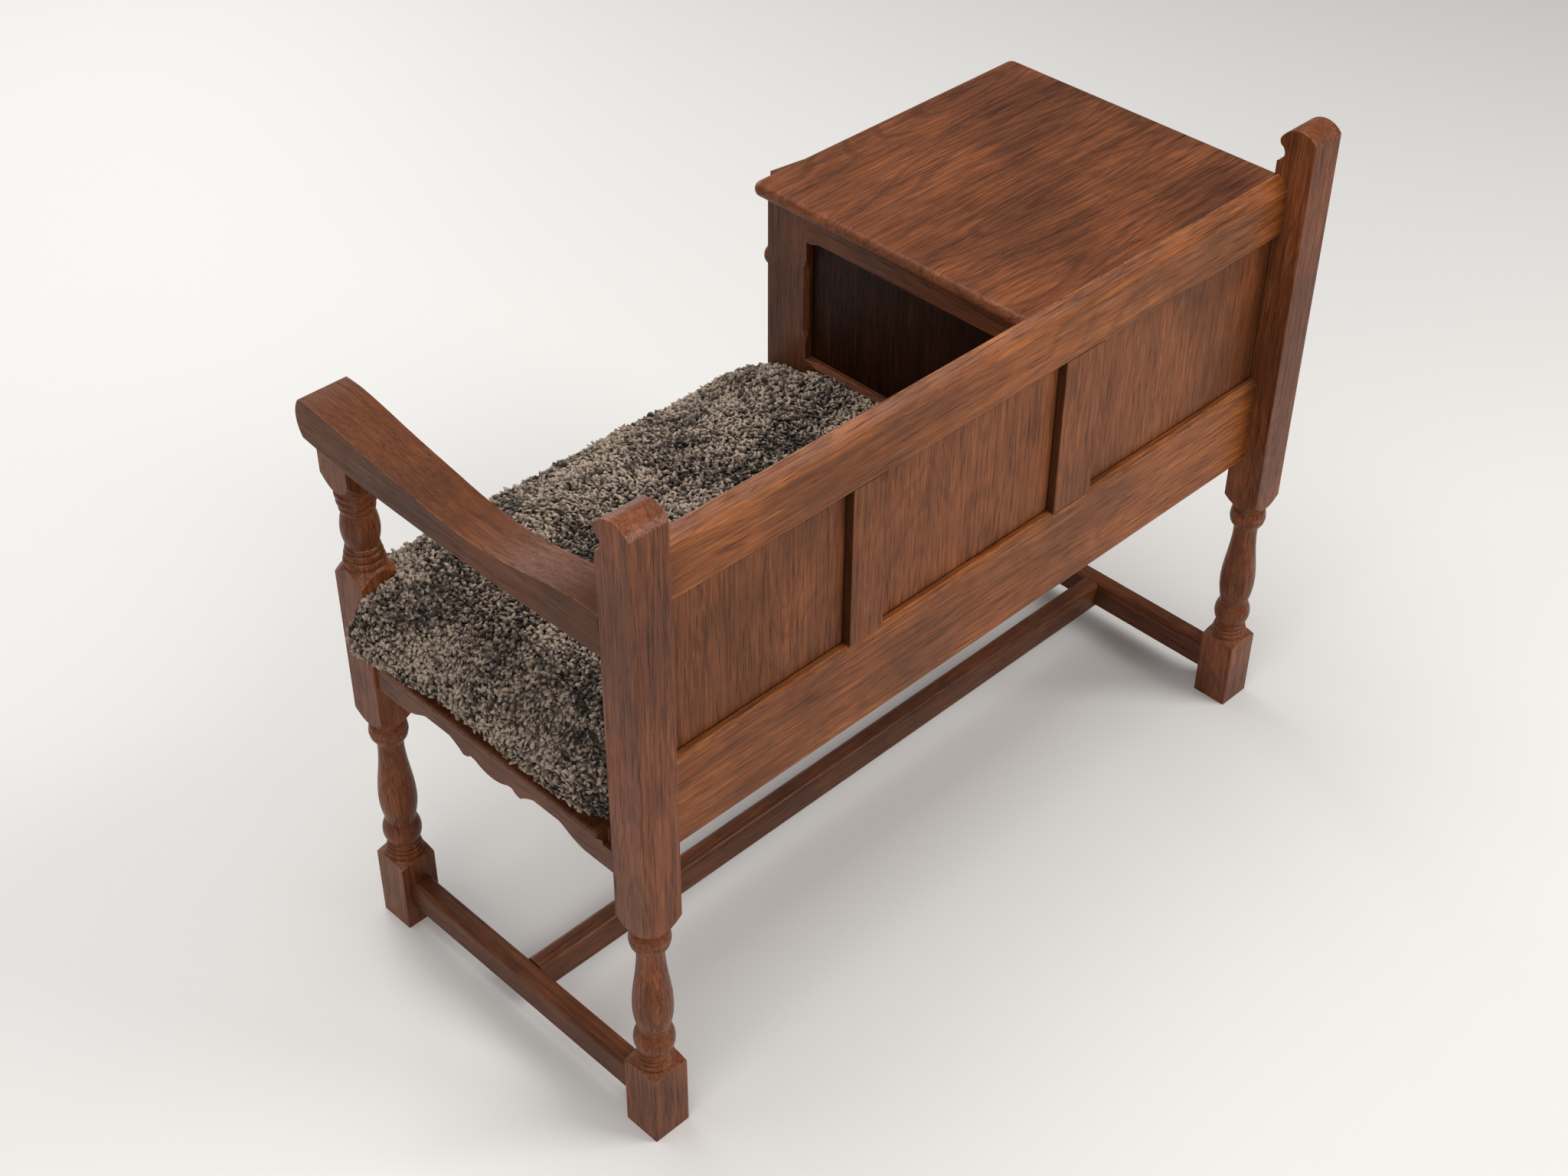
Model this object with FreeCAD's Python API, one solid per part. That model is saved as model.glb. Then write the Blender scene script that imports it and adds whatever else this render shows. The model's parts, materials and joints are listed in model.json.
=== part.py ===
import FreeCAD, Part
import math
import os

V = FreeCAD.Vector

# A telephone bench in stained oak: four legs joined by an H stretcher, a panelled back,
# one armrest, a cushioned seat and a small cupboard with a table top.
# Seen from the front, the arm is at +X and the cupboard at -X. The front looks to -Y and +Z is up.
# All sizes are in millimetres. Heights are measured from the floor, X and Y from the middle of the
# four feet. The last step moves everything so that the origin is the middle of the whole.

# Legs and posts
POST = 44.0
HALF_WIDTH = 484.7
HALF_DEPTH = 221.3
INNER_X = HALF_WIDTH - POST
INNER_Y = HALF_DEPTH - POST
AXIS_X = HALF_WIDTH - POST / 2
AXIS_Y = HALF_DEPTH - POST / 2
CORNER_R = 31.2
POST_TOP = 762.0
ARRIS = 1.2

# Stretchers
STRETCHER_WIDE = 23.0
STRETCHER_LOW = 27.5
STRETCHER_TOP = 62.0
STRETCHER_MIDDLE = (STRETCHER_LOW + STRETCHER_TOP) / 2
STRETCHER_ROUND = 6.0

# Seat
SEAT_TOP = 391.0
SEAT_THICK = 19.0
SEAT_LOW = SEAT_TOP - SEAT_THICK
SEAT_LIP = 4.0
APRON_THICK = 18.0
APRON_INSET = 3.0
APRON_LOW = 345.5
SCALLOP_PITCH = 290.0
BEAD = 3.2
MOULDING = 7.0
BATTEN = 16.0

# Back frame
BACK_FRONT = 180.0
BACK_THICK = 16.0
BACK_REAR = BACK_FRONT + BACK_THICK
TOP_RAIL_LOW = 641.0
TOP_RAIL_TOP = 708.0
BOTTOM_RAIL_LOW = 350.0
BOTTOM_RAIL_TOP = 459.0
MUNTINS = {"arm": (153.5, 198.5), "cupboard": (-155.0, -97.0)}
PANEL_THICK = 6.0
PANEL_SETBACK = 9.0
GROOVE = 6.0
TENON = 14.0
TENON_THICK = 8.0

# Armrest
ARM_WIDE_FRONT = 55.5
ARM_TAPER_END = 120.0
ARM_TENON = (617.0, 643.0)
ARM_LOW_REAR = 608.5
LEG_TOP = 640.0
PEG_R = 9.0
PEG_LOW = 600.0
PEG_LONG = 30.0

# Cupboard
SIDE_X = -87.0
CASE_FRONT = -206.5
FRONT_THICK = 15.5
SIDE_FRONT = CASE_FRONT + FRONT_THICK
SIDE_THICK = 20.0
TOP_Z = 678.0
TOP_THICK = 17.0
TOP_LOW = TOP_Z - TOP_THICK
TOP_FRONT = -223.0
TOP_NOSE = 8.5
STILE = 42.5
FACE_STILE = 43.0
SIDE_TOP_RAIL = 29.0
SIDE_BOTTOM_RAIL = 96.0
SIDE_PANEL_SETBACK = 10.0
FRAME_ARRIS = 0.8

# Door
DOOR_THICK = 16.0
DOOR_GAP = 1.2
HINGE_GAP = 0.8
DOOR_LOW = SEAT_TOP + 3.0
DOOR_TOP = TOP_LOW - 3.5
DOOR_LEFT = -HALF_WIDTH + FACE_STILE + HINGE_GAP
DOOR_RIGHT = SIDE_X - FACE_STILE - DOOR_GAP
DOOR_STILE = 45.0
DOOR_BOTTOM_RAIL = 50.0
DOOR_PANEL_SETBACK = 7.0
DOOR_AJAR = 8.2
KNOB_X = -152.0
KNOB_Z = 540.0

# Catch
STOP_PLAY = 0.3
STOP_DEEP = 18.0
PLATE_LONG = 30.0
PLATE_THICK = 1.5
PLATE_HIGH = 10.0
PLATE_FROM_EDGE = 60.0

# Hinges
HINGE_LONG = 50.0
HINGE_LEAF = 1.6
HINGE_WIDE = 12.0
BARREL_R = 2.8
PIN_R = 1.5
PIN_PLAY = 0.05
HINGE_X = DOOR_LEFT - HINGE_GAP / 2
HINGE_Y = CASE_FRONT - BARREL_R - 0.1
HINGE_FEET = (DOOR_LOW + 34.0, DOOR_TOP - 34.0 - HINGE_LONG)

# Cushion
PAD_X = (SIDE_X + 2.0, 503.0)
PAD_Y = (-234.0, BACK_FRONT - 3.0)
PAD_CROWN = 488.0
PAD_WAIST = 425.0
PAD_BROW = 45.0
PAD_TUCK = 15.0
PAD_CORNER = 46.0
PAD_FLAT = 125.0
PRESSED_END = 0.1
PRESSED_BACK = 0.4
PAD_LOW_TOP = 448.0
HIDE = 24.0
LEG_CLEAR = 2.5


def box(x0, x1, y0, y1, z0, z1):
    """Return a box between two corners."""
    return Part.makeBox(x1 - x0, y1 - y0, z1 - z0, V(x0, y0, z0))


def parallel(edge, axis):
    """Tell whether a straight edge runs along an axis."""
    if not isinstance(edge.Curve, Part.Line):
        return False
    return abs(abs(edge.tangentAt(edge.FirstParameter).dot(axis)) - 1) < 1e-6


def eased(shape, axis, radius=ARRIS):
    """Round the straight edges that run along one axis."""
    edges = [edge for edge in shape.Edges if parallel(edge, axis)]
    return shape.makeFillet(radius, edges)


def board(x0, x1, y0, y1, z0, z1, axis, radius=ARRIS):
    """Return a board whose long edges, along the axis, are eased."""
    return eased(box(x0, x1, y0, y1, z0, z1), axis, radius)


ALONG_X = V(1, 0, 0)
ALONG_Y = V(0, 1, 0)
ALONG_Z = V(0, 0, 1)


class Outline:
    """A closed outline in one plane, drawn by lines, arcs and curves."""

    def __init__(self, place, first, second):
        """Start at a point; place turns two plane coordinates into a vector."""
        self.place = place
        self.start = place(first, second)
        self.at = self.start
        self.edges = []

    def line(self, first, second):
        """Draw a straight line to a point."""
        end = self.place(first, second)
        self.edges.append(Part.makeLine(self.at, end))
        self.at = end
        return self

    def arc(self, middle, end):
        """Draw an arc through a point to another."""
        end = self.place(*end)
        self.edges.append(Part.Arc(self.at, self.place(*middle), end).toShape())
        self.at = end
        return self

    def curve(self, points):
        """Draw a smooth curve through points."""
        stations = [self.at] + [self.place(*point) for point in points]
        spline = Part.BSplineCurve()
        spline.interpolate(stations)
        self.edges.append(spline.toShape())
        self.at = stations[-1]
        return self

    def face(self):
        """Close the outline and return its face."""
        if self.at.distanceToPoint(self.start) > 1e-6:
            self.edges.append(Part.makeLine(self.at, self.start))
        return Part.Face(Part.Wire(self.edges))

    def prism(self, way):
        """Return the outline pushed along a vector."""
        return self.face().extrude(way)


def profile_yz(x):
    """Return a function that places (y, z) in the plane at x."""
    return lambda y, z: V(x, y, z)


def profile_xz(y):
    """Return a function that places (x, z) in the plane at y."""
    return lambda x, z: V(x, y, z)


def profile_xy(z):
    """Return a function that places (x, y) in the plane at z."""
    return lambda x, y: V(x, y, z)


# Turned work
FOOT_BLOCK_TOP = 86.8
LOWER_SHOULDER = (280.5, 297.0)
SEAT_BLOCK_TOP = 471.5
ARM_BLOCK_LOW = 592.5
FOOT_RINGS = ((92.6, 98.4, 20.6), (98.4, 103.6, 19.2), (103.6, 108.4, 17.8))
LOW_RINGS = ((485.5, 493.5, 21.2), (493.5, 501.0, 19.6), (501.0, 507.5, 17.9))
HIGH_RINGS = ((549.0, 557.0, 18.2), (557.0, 565.5, 19.8), (565.5, 574.5, 20.8))
RING_ROUND = 1.7


def stacked_rings(turning, rings):
    """Add small turned rings, one on the other."""
    for low, high, radius in rings:
        turning.line(radius - RING_ROUND, low)
        turning.arc((radius, (low + high) / 2), (radius - RING_ROUND, high))


def lower_turning():
    """Draw the turning from the floor up to the square seat block."""
    turning = Outline(profile_xz(0), 0, 0)
    turning.line(CORNER_R, 0).line(CORNER_R, FOOT_BLOCK_TOP)
    stacked_rings(turning, FOOT_RINGS)
    turning.line(15.8, 109.6).arc((20.8, 124.0), (16.6, 139.5)).line(16.0, 141.0)
    turning.curve([(17.4, 148.0), (19.6, 161.0), (20.2, 176.0), (17.0, 208.0), (13.9, 238.0),
                   (13.9, 250.0)])
    turning.line(15.0, 254.0).arc((18.3, 257.4), (19.8, 261.6))
    turning.line(19.0, 262.4).line(20.2, 263.2).arc((20.6, 265.8), (20.4, 268.4))
    turning.line(19.6, 269.2).line(20.1, 270.0).arc((19.2, 275.2), (16.8, 279.5))
    return turning.line(16.8, LOWER_SHOULDER[0]).line(CORNER_R, LOWER_SHOULDER[1])


def spun(turning, top):
    """Close a turning on its axis at a height and spin it."""
    turning.line(0, top)
    return turning.face().revolve(V(0, 0, 0), ALONG_Z, 360)


def leg_cabinet_front():
    """Return the front leg under the cupboard; it ends below the seat board."""
    turning = lower_turning()
    turning.line(CORNER_R, SEAT_LOW)
    square = board(-POST / 2, POST / 2, -POST / 2, POST / 2, 0, SEAT_LOW, ALONG_Z)
    return square.common(spun(turning, SEAT_LOW))


def leg_arm_front(top):
    """Return the front leg that goes on as the turned support of the arm."""
    turning = lower_turning()
    turning.line(CORNER_R, SEAT_BLOCK_TOP).line(20.6, 484.5)
    stacked_rings(turning, LOW_RINGS)
    turning.line(16.0, 508.5)
    turning.curve([(18.6, 518.0), (19.6, 528.5), (18.4, 539.0), (16.4, 547.5)])
    stacked_rings(turning, HIGH_RINGS)
    turning.line(20.2, 575.5).line(CORNER_R, ARM_BLOCK_LOW).line(CORNER_R, top)
    square = board(-POST / 2, POST / 2, -POST / 2, POST / 2, 0, top, ALONG_Z)
    return square.common(spun(turning, top))


def back_post():
    """Return a back post; its head is a roll over a small cove towards the front."""
    turning = lower_turning()
    turning.line(CORNER_R, POST_TOP + 5)
    front = -POST / 2
    back = POST / 2
    head = Outline(profile_yz(-POST / 2), front, 0)
    head.line(back, 0).line(back, POST_TOP - 10.5)
    head.arc((2.2, POST_TOP), (front + 2.9, POST_TOP - 11.5))
    head.arc((front + 1.0, POST_TOP - 16.8), (front + 2.9, POST_TOP - 21.4))
    head.line(front + 5.5, POST_TOP - 23.1)
    head.arc((front + 8.5, POST_TOP - 30.0), (front + 5.1, POST_TOP - 37.6)).line(front, POST_TOP - 41.0)
    solid = eased(head.prism(V(POST, 0, 0)), ALONG_Z)
    return solid.common(spun(turning, POST_TOP + 5))


def placed(shape, x, y):
    """Move a leg from the axis to its corner."""
    moved = shape.copy()
    moved.translate(V(x, y, 0))
    return moved


def armrest():
    """Return the armrest: a dipped board that widens towards its rounded nose."""
    side = Outline(profile_yz(INNER_X - POST), INNER_Y, ARM_LOW_REAR)
    side.line(INNER_Y, 652.3)
    side.curve([(120.0, 650.2), (73.0, 641.6), (0.0, 635.0), (-79.0, 642.5), (-150.0, 652.0),
                (-201.0, 660.0), (-241.0, 662.0)])
    side.arc((-248.0, 641.0), (-241.0, 619.7))
    side.line(-HALF_DEPTH, 617.0).line(-INNER_Y, 611.0).arc((60.0, 605.8), (INNER_Y, ARM_LOW_REAR))
    plan = Outline(profile_xy(560), HALF_WIDTH, -260.0)
    plan.line(HALF_WIDTH, INNER_Y).line(INNER_X, INNER_Y).line(INNER_X, ARM_TAPER_END)
    plan.line(HALF_WIDTH - ARM_WIDE_FRONT, -HALF_DEPTH).line(HALF_WIDTH - ARM_WIDE_FRONT, -260.0)
    return side.prism(V(3 * POST, 0, 0)).common(plan.prism(V(0, 0, 160)))


def apron(length, thick, scallops):
    """Return an apron along X with its front at y=0 and a scalloped lower edge."""
    half = length / 2
    edge = Outline(profile_xz(0), -half, SEAT_LOW)
    edge.line(-half, APRON_LOW)
    for centre in scallops:
        edge.line(centre - 136, APRON_LOW)
        edge.arc((centre - 122, APRON_LOW + 3.0), (centre - 110, APRON_LOW + 8.5))
        edge.arc((centre - 82, APRON_LOW + 16.0), (centre - 43, APRON_LOW + 1.5))
        edge.arc((centre - 37, APRON_LOW + 2.6), (centre - 31, APRON_LOW + 7.0))
        edge.line(centre - 24, APRON_LOW + 6.0)
        edge.arc((centre, APRON_LOW - 0.5), (centre + 24, APRON_LOW + 6.0))
        edge.line(centre + 31, APRON_LOW + 7.0)
        edge.arc((centre + 37, APRON_LOW + 2.6), (centre + 43, APRON_LOW + 1.5))
        edge.arc((centre + 82, APRON_LOW + 16.0), (centre + 110, APRON_LOW + 8.5))
        edge.arc((centre + 122, APRON_LOW + 3.0), (centre + 136, APRON_LOW))
    edge.line(half, APRON_LOW).line(half, SEAT_LOW)
    plain = edge.prism(V(0, thick, 0))
    tenon = box(-half - TENON, half + TENON, thick / 2 - TENON_THICK / 2, thick / 2 + TENON_THICK / 2,
                APRON_LOW + 5, SEAT_LOW - 4)
    return plain.fuse(tenon).removeSplitter()


def moulded_edge(outline, lip, way):
    """Add the seat's moulding: a bead, a quirk and a cove; way is +1 outwards."""
    outline.arc((lip, SEAT_TOP - BEAD), (lip - way * BEAD, SEAT_TOP - 2 * BEAD))
    outline.line(lip - way * 4.6, SEAT_TOP - 2 * BEAD).line(lip - way * 4.6, SEAT_TOP - 7.9)
    outline.line(lip - way * 1.6, SEAT_TOP - 7.9)
    outline.arc((lip - way * 5.6, SEAT_TOP - 12.2), (lip - way * MOULDING, SEAT_LOW + 1.0))
    outline.line(lip - way * MOULDING, SEAT_LOW)


def seat_board():
    """Return the seat board, moulded on its ends and front and cut round the legs."""
    lip_x = HALF_WIDTH + SEAT_LIP
    ends = Outline(profile_xz(-HALF_DEPTH - 20), 0, SEAT_TOP)
    ends.line(lip_x - BEAD, SEAT_TOP)
    moulded_edge(ends, lip_x, 1)
    half = ends.line(0, SEAT_LOW).prism(V(0, 2 * HALF_DEPTH + 40, 0))
    across = half.fuse(half.mirror(V(0, 0, 0), ALONG_X)).removeSplitter()
    lip_y = -HALF_DEPTH - SEAT_LIP
    front = Outline(profile_yz(-lip_x - 10), BACK_FRONT, SEAT_LOW)
    front.line(BACK_FRONT, SEAT_TOP).line(lip_y + BEAD, SEAT_TOP)
    moulded_edge(front, lip_y, -1)
    solid = across.common(front.prism(V(2 * lip_x + 20, 0, 0)))
    corner = box(INNER_X, lip_x + 5, -HALF_DEPTH - 10, -INNER_Y, SEAT_LOW - 5, SEAT_TOP + 5)
    solid = solid.cut(corner)
    for sign in (-1, 1):
        edges = sorted((sign * INNER_X, sign * (lip_x + 5)))
        solid = solid.cut(box(edges[0], edges[1], INNER_Y, BACK_FRONT + 5, SEAT_LOW - 5, SEAT_TOP + 5))
        edges = sorted((sign * (HALF_WIDTH - 10.0), sign * (lip_x + 5)))
        solid = solid.cut(box(edges[0], edges[1], 162.0, INNER_Y + 1, SEAT_LOW - 5, SEAT_TOP + 5))
    return solid


def cushion_ring(height, inset):
    """Return the cushion's rounded outline at one height.

    It is pressed flatter against the cupboard and the back than at its free sides.
    """
    x0 = PAD_X[0] + inset * PRESSED_END
    x1 = PAD_X[1] - inset
    y0 = PAD_Y[0] + inset
    y1 = PAD_Y[1] - inset * PRESSED_BACK
    radius = max(PAD_CORNER - 0.12 * inset, 20.0)
    bulge = radius * (1 - math.sqrt(0.5))
    ring = Outline(profile_xy(height), x0 + radius, y0)
    ring.line(x1 - radius, y0).arc((x1 - bulge, y0 + bulge), (x1, y0 + radius))
    ring.line(x1, y1 - radius).arc((x1 - bulge, y1 - bulge), (x1 - radius, y1))
    ring.line(x0 + radius, y1).arc((x0 + bulge, y1 - bulge), (x0, y1 - radius))
    ring.line(x0, y0 + radius).arc((x0 + bulge, y0 + bulge), (x0 + radius, y0))
    return Part.Wire(ring.edges)


def cushion_form():
    """Return the cushion's form: sides drawn in towards the seat, a round brow and a low crown."""
    rings = []
    for step in range(4):
        below = 1 - step / 3
        rings.append((PAD_WAIST - (PAD_WAIST - SEAT_TOP) * below, PAD_TUCK * below ** 2))
    for step in range(1, 8):
        turn = math.radians(90 * step / 8)
        rings.append((PAD_WAIST + PAD_BROW * math.sin(turn), 1.2 * PAD_BROW * (1 - math.cos(turn))))
    brow_top, brow_inset = rings[-1]
    for share in (0.25, 0.5, 0.72, 0.9, 1.0):
        rise = (PAD_CROWN - brow_top) * (1 - (1 - share) ** 2)
        rings.append((brow_top + rise, brow_inset + (PAD_FLAT - brow_inset) * share))
    solid = Part.makeLoft([cushion_ring(height, inset) for height, inset in rings], True, True)
    leg = box(INNER_X - LEG_CLEAR, PAD_X[1] + 20, PAD_Y[0] - 20, -INNER_Y + LEG_CLEAR,
              SEAT_TOP - 5, PAD_CROWN + 20)
    return solid.cut(leg)


def seat_pad():
    """Return the firm slab inside the cushion, cut round the leg."""
    slab = board(PAD_X[0] + HIDE, PAD_X[1] - HIDE, PAD_Y[0] + HIDE, PAD_Y[1] - HIDE, SEAT_TOP, PAD_LOW_TOP,
                 ALONG_Z, 12.0)
    leg = box(INNER_X - LEG_CLEAR - HIDE, PAD_X[1], PAD_Y[0], -INNER_Y + LEG_CLEAR + HIDE,
              SEAT_TOP - 5, PAD_CROWN)
    return slab.cut(leg)


def rail_between_posts(profile, low, high):
    """Return a back rail with a tenon at each end."""
    rail = profile.prism(V(2 * INNER_X, 0, 0))
    middle = (BACK_FRONT + BACK_REAR) / 2
    tenons = box(-INNER_X - TENON, INNER_X + TENON, middle - TENON_THICK / 2, middle + TENON_THICK / 2,
                 low, high)
    return rail.fuse(tenons).removeSplitter()


def back_top_rail():
    """Return the top rail; its upper edge slopes down to the back, a little rounded by wear."""
    place = profile_yz(-INNER_X)
    outline = Outline(place, BACK_FRONT, TOP_RAIL_LOW)
    outline.line(BACK_REAR - 1.2, TOP_RAIL_LOW).line(BACK_REAR, TOP_RAIL_LOW + 1.2)
    outline.line(BACK_REAR, TOP_RAIL_TOP - 15.0)
    outline.arc((BACK_REAR - 5.7, TOP_RAIL_TOP - 7.1), (BACK_FRONT + 3.0, TOP_RAIL_TOP))
    outline.line(BACK_FRONT, TOP_RAIL_TOP - 2.0)
    return rail_between_posts(outline, TOP_RAIL_LOW + 8, TOP_RAIL_TOP - 20)


def back_bottom_rail():
    """Return the bottom rail, which also closes the seat at the back."""
    place = profile_yz(-INNER_X)
    outline = Outline(place, BACK_FRONT, BOTTOM_RAIL_LOW)
    outline.line(BACK_REAR - 8.0, BOTTOM_RAIL_LOW)
    outline.arc((BACK_REAR - 2.3, BOTTOM_RAIL_LOW + 2.3), (BACK_REAR, BOTTOM_RAIL_LOW + 8.0))
    outline.line(BACK_REAR, BOTTOM_RAIL_TOP - 4.0).line(BACK_REAR - 3.0, BOTTOM_RAIL_TOP)
    outline.line(BACK_FRONT, BOTTOM_RAIL_TOP)
    return rail_between_posts(outline, BOTTOM_RAIL_LOW + 20, BOTTOM_RAIL_TOP - 20)


def back_muntin(x0, x1):
    """Return an upright of the back frame with a tenon at each end."""
    upright = board(x0, x1, BACK_FRONT, BACK_REAR, BOTTOM_RAIL_TOP, TOP_RAIL_LOW, ALONG_Z)
    middle = (BACK_FRONT + BACK_REAR) / 2
    tenon = box(x0 + 10, x1 - 10, middle - TENON_THICK / 2, middle + TENON_THICK / 2,
                BOTTOM_RAIL_TOP - TENON, TOP_RAIL_LOW + TENON)
    return upright.fuse(tenon)


def back_panel(x0, x1):
    """Return a flat panel whose edges lie in the grooves of the frame."""
    rear = BACK_REAR - PANEL_SETBACK
    return box(x0 - GROOVE, x1 + GROOVE, rear - PANEL_THICK, rear, BOTTOM_RAIL_TOP - GROOVE,
               TOP_RAIL_LOW + GROOVE)


def stopped_chamfer(start, along, out, front, length, size, margin, run):
    """Return the cutter of a chamfer that runs out before both ends of an arris."""
    sections = []
    stations = ((margin, 0), (margin + run, size), (length - margin - run, size), (length - margin, 0))
    for distance, leg in stations:
        point = start + along * distance
        corner = point + out + front
        inner = point - out * (leg + 1) + front
        deep = point + out - front * (leg + 1)
        sections.append(Part.makePolygon([corner, inner, deep, corner]))
    return Part.makeLoft(sections, True, True)


CHAMFER = 4.5
CHAMFER_RUN = 14.0
STILE_MARGIN = 20.0
RAIL_MARGIN = 4.0
FRONTWARD = V(0, -1, 0)


def panelled_frame(width, height, thick, stiles, top, bottom, setback):
    """Return a framed panel in the XZ plane, its front at y=0: two stiles, two rails and a panel.

    The inner arrises at the front have stopped chamfers, and the rails' tenons enter the stiles.
    """
    left, right = stiles
    opening = (left, width - right, bottom, height - top)
    panel = box(left - GROOVE, width - right + GROOVE, setback, setback + PANEL_THICK, bottom - GROOVE,
                height - top + GROOVE)
    tenon_y = (thick / 2 - TENON_THICK / 2, thick / 2 + TENON_THICK / 2)

    def rail(z0, z1):
        bar = board(left, width - right, 0, thick, z0, z1, ALONG_X, FRAME_ARRIS)
        inner_low = z0 + 8 if z0 == 0 else z0 + GROOVE + 2
        inner_high = z1 - GROOVE - 2 if z0 == 0 else z1 - 6
        tenon = box(left - TENON, width - right + TENON, tenon_y[0], tenon_y[1], inner_low, inner_high)
        return bar.fuse(tenon)

    shapes = {"top_rail": rail(height - top, height), "bottom_rail": rail(0, bottom)}
    shapes["stile_left"] = board(0, left, 0, thick, 0, height, ALONG_Z, FRAME_ARRIS)
    shapes["stile_right"] = board(width - right, width, 0, thick, 0, height, ALONG_Z, FRAME_ARRIS)
    for name in ("stile_left", "stile_right"):
        shapes[name] = shapes[name].cut(shapes["top_rail"]).cut(shapes["bottom_rail"])
    span = width - left - right
    rise = height - top - bottom
    cutters = {
        "stile_left": (V(opening[0], 0, bottom), ALONG_Z, ALONG_X, rise, STILE_MARGIN),
        "stile_right": (V(opening[1], 0, bottom), ALONG_Z, ALONG_X * -1, rise, STILE_MARGIN),
        "top_rail": (V(left, 0, opening[3]), ALONG_X, ALONG_Z * -1, span, RAIL_MARGIN),
        "bottom_rail": (V(left, 0, opening[2]), ALONG_X, ALONG_Z, span, RAIL_MARGIN),
    }
    for name, (start, along, out, length, margin) in cutters.items():
        cutter = stopped_chamfer(start, along, out, FRONTWARD, length, CHAMFER, margin, CHAMFER_RUN)
        shapes[name] = shapes[name].cut(cutter).cut(panel)
    shapes["panel"] = panel
    return shapes


def turned_to_side(shapes, angle, x, y, z):
    """Turn a framed panel about +Z and move its corner to a point."""
    moved = {}
    for name, shape in shapes.items():
        copy = shape.copy()
        copy.rotate(V(0, 0, 0), ALONG_Z, angle)
        copy.translate(V(x, y, z))
        moved[name] = copy
    return moved


def table_top():
    """Return the table top with a half-round nose on its three free edges."""
    slab = box(-HALF_WIDTH - TOP_NOSE, SIDE_X + TOP_NOSE, TOP_FRONT, BACK_FRONT, TOP_LOW, TOP_Z)
    front_corners = [edge for edge in slab.Edges if parallel(edge, ALONG_Z) and edge.BoundBox.YMax < 0]
    slab = slab.makeFillet(10.0, front_corners)
    rims = []
    for edge in slab.Edges:
        middle = edge.valueAt((edge.FirstParameter + edge.LastParameter) / 2)
        flat = edge.BoundBox.ZLength < 1e-6
        if flat and middle.y < BACK_FRONT - 1:
            rims.append(edge)
    return slab.makeFillet(TOP_NOSE - 0.2, rims)


def side_stretcher():
    """Return the arm side's low stretcher, rounded on top, with its tenons."""
    x0 = AXIS_X - STRETCHER_WIDE / 2
    bar = box(x0, x0 + STRETCHER_WIDE, -INNER_Y, INNER_Y, STRETCHER_LOW, STRETCHER_TOP)
    upper = [edge for edge in bar.Edges if parallel(edge, ALONG_Y) and edge.BoundBox.ZMin > STRETCHER_MIDDLE]
    bar = bar.makeFillet(STRETCHER_ROUND, upper)
    tenon = box(AXIS_X - 5, AXIS_X + 5, -INNER_Y - TENON, INNER_Y + TENON,
                STRETCHER_LOW + 6, STRETCHER_TOP - 8)
    return bar.fuse(tenon)


def centre_stretcher():
    """Return the long stretcher between the two side stretchers, with its tenons."""
    reach = AXIS_X - STRETCHER_WIDE / 2
    half = STRETCHER_WIDE / 2
    bar = box(-reach, reach, -half, half, STRETCHER_LOW, STRETCHER_TOP - 1)
    upper = [edge for edge in bar.Edges if parallel(edge, ALONG_X) and edge.BoundBox.ZMin > STRETCHER_MIDDLE]
    bar = bar.makeFillet(STRETCHER_ROUND, upper)
    return bar.fuse(box(-reach - 12, reach + 12, -4, 4, STRETCHER_LOW + 6, STRETCHER_TOP - 8))


SCREW_HEAD_R = 3.0
SCREW_R = 1.3
SCREW_LONG = 11.0


def countersunk_screw(point, way):
    """Return a wood screw whose flat head is at a point and whose shank goes along a vector."""
    turning = Outline(profile_xz(0), 0, 0)
    turning.line(SCREW_HEAD_R, 0).line(SCREW_R, SCREW_HEAD_R - SCREW_R)
    turning.line(SCREW_R, SCREW_LONG - 2).line(0, SCREW_LONG)
    screw = turning.face().revolve(V(0, 0, 0), ALONG_Z, 360)
    screw.Placement = FreeCAD.Placement(point, FreeCAD.Rotation(ALONG_Z, way))
    return screw


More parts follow.
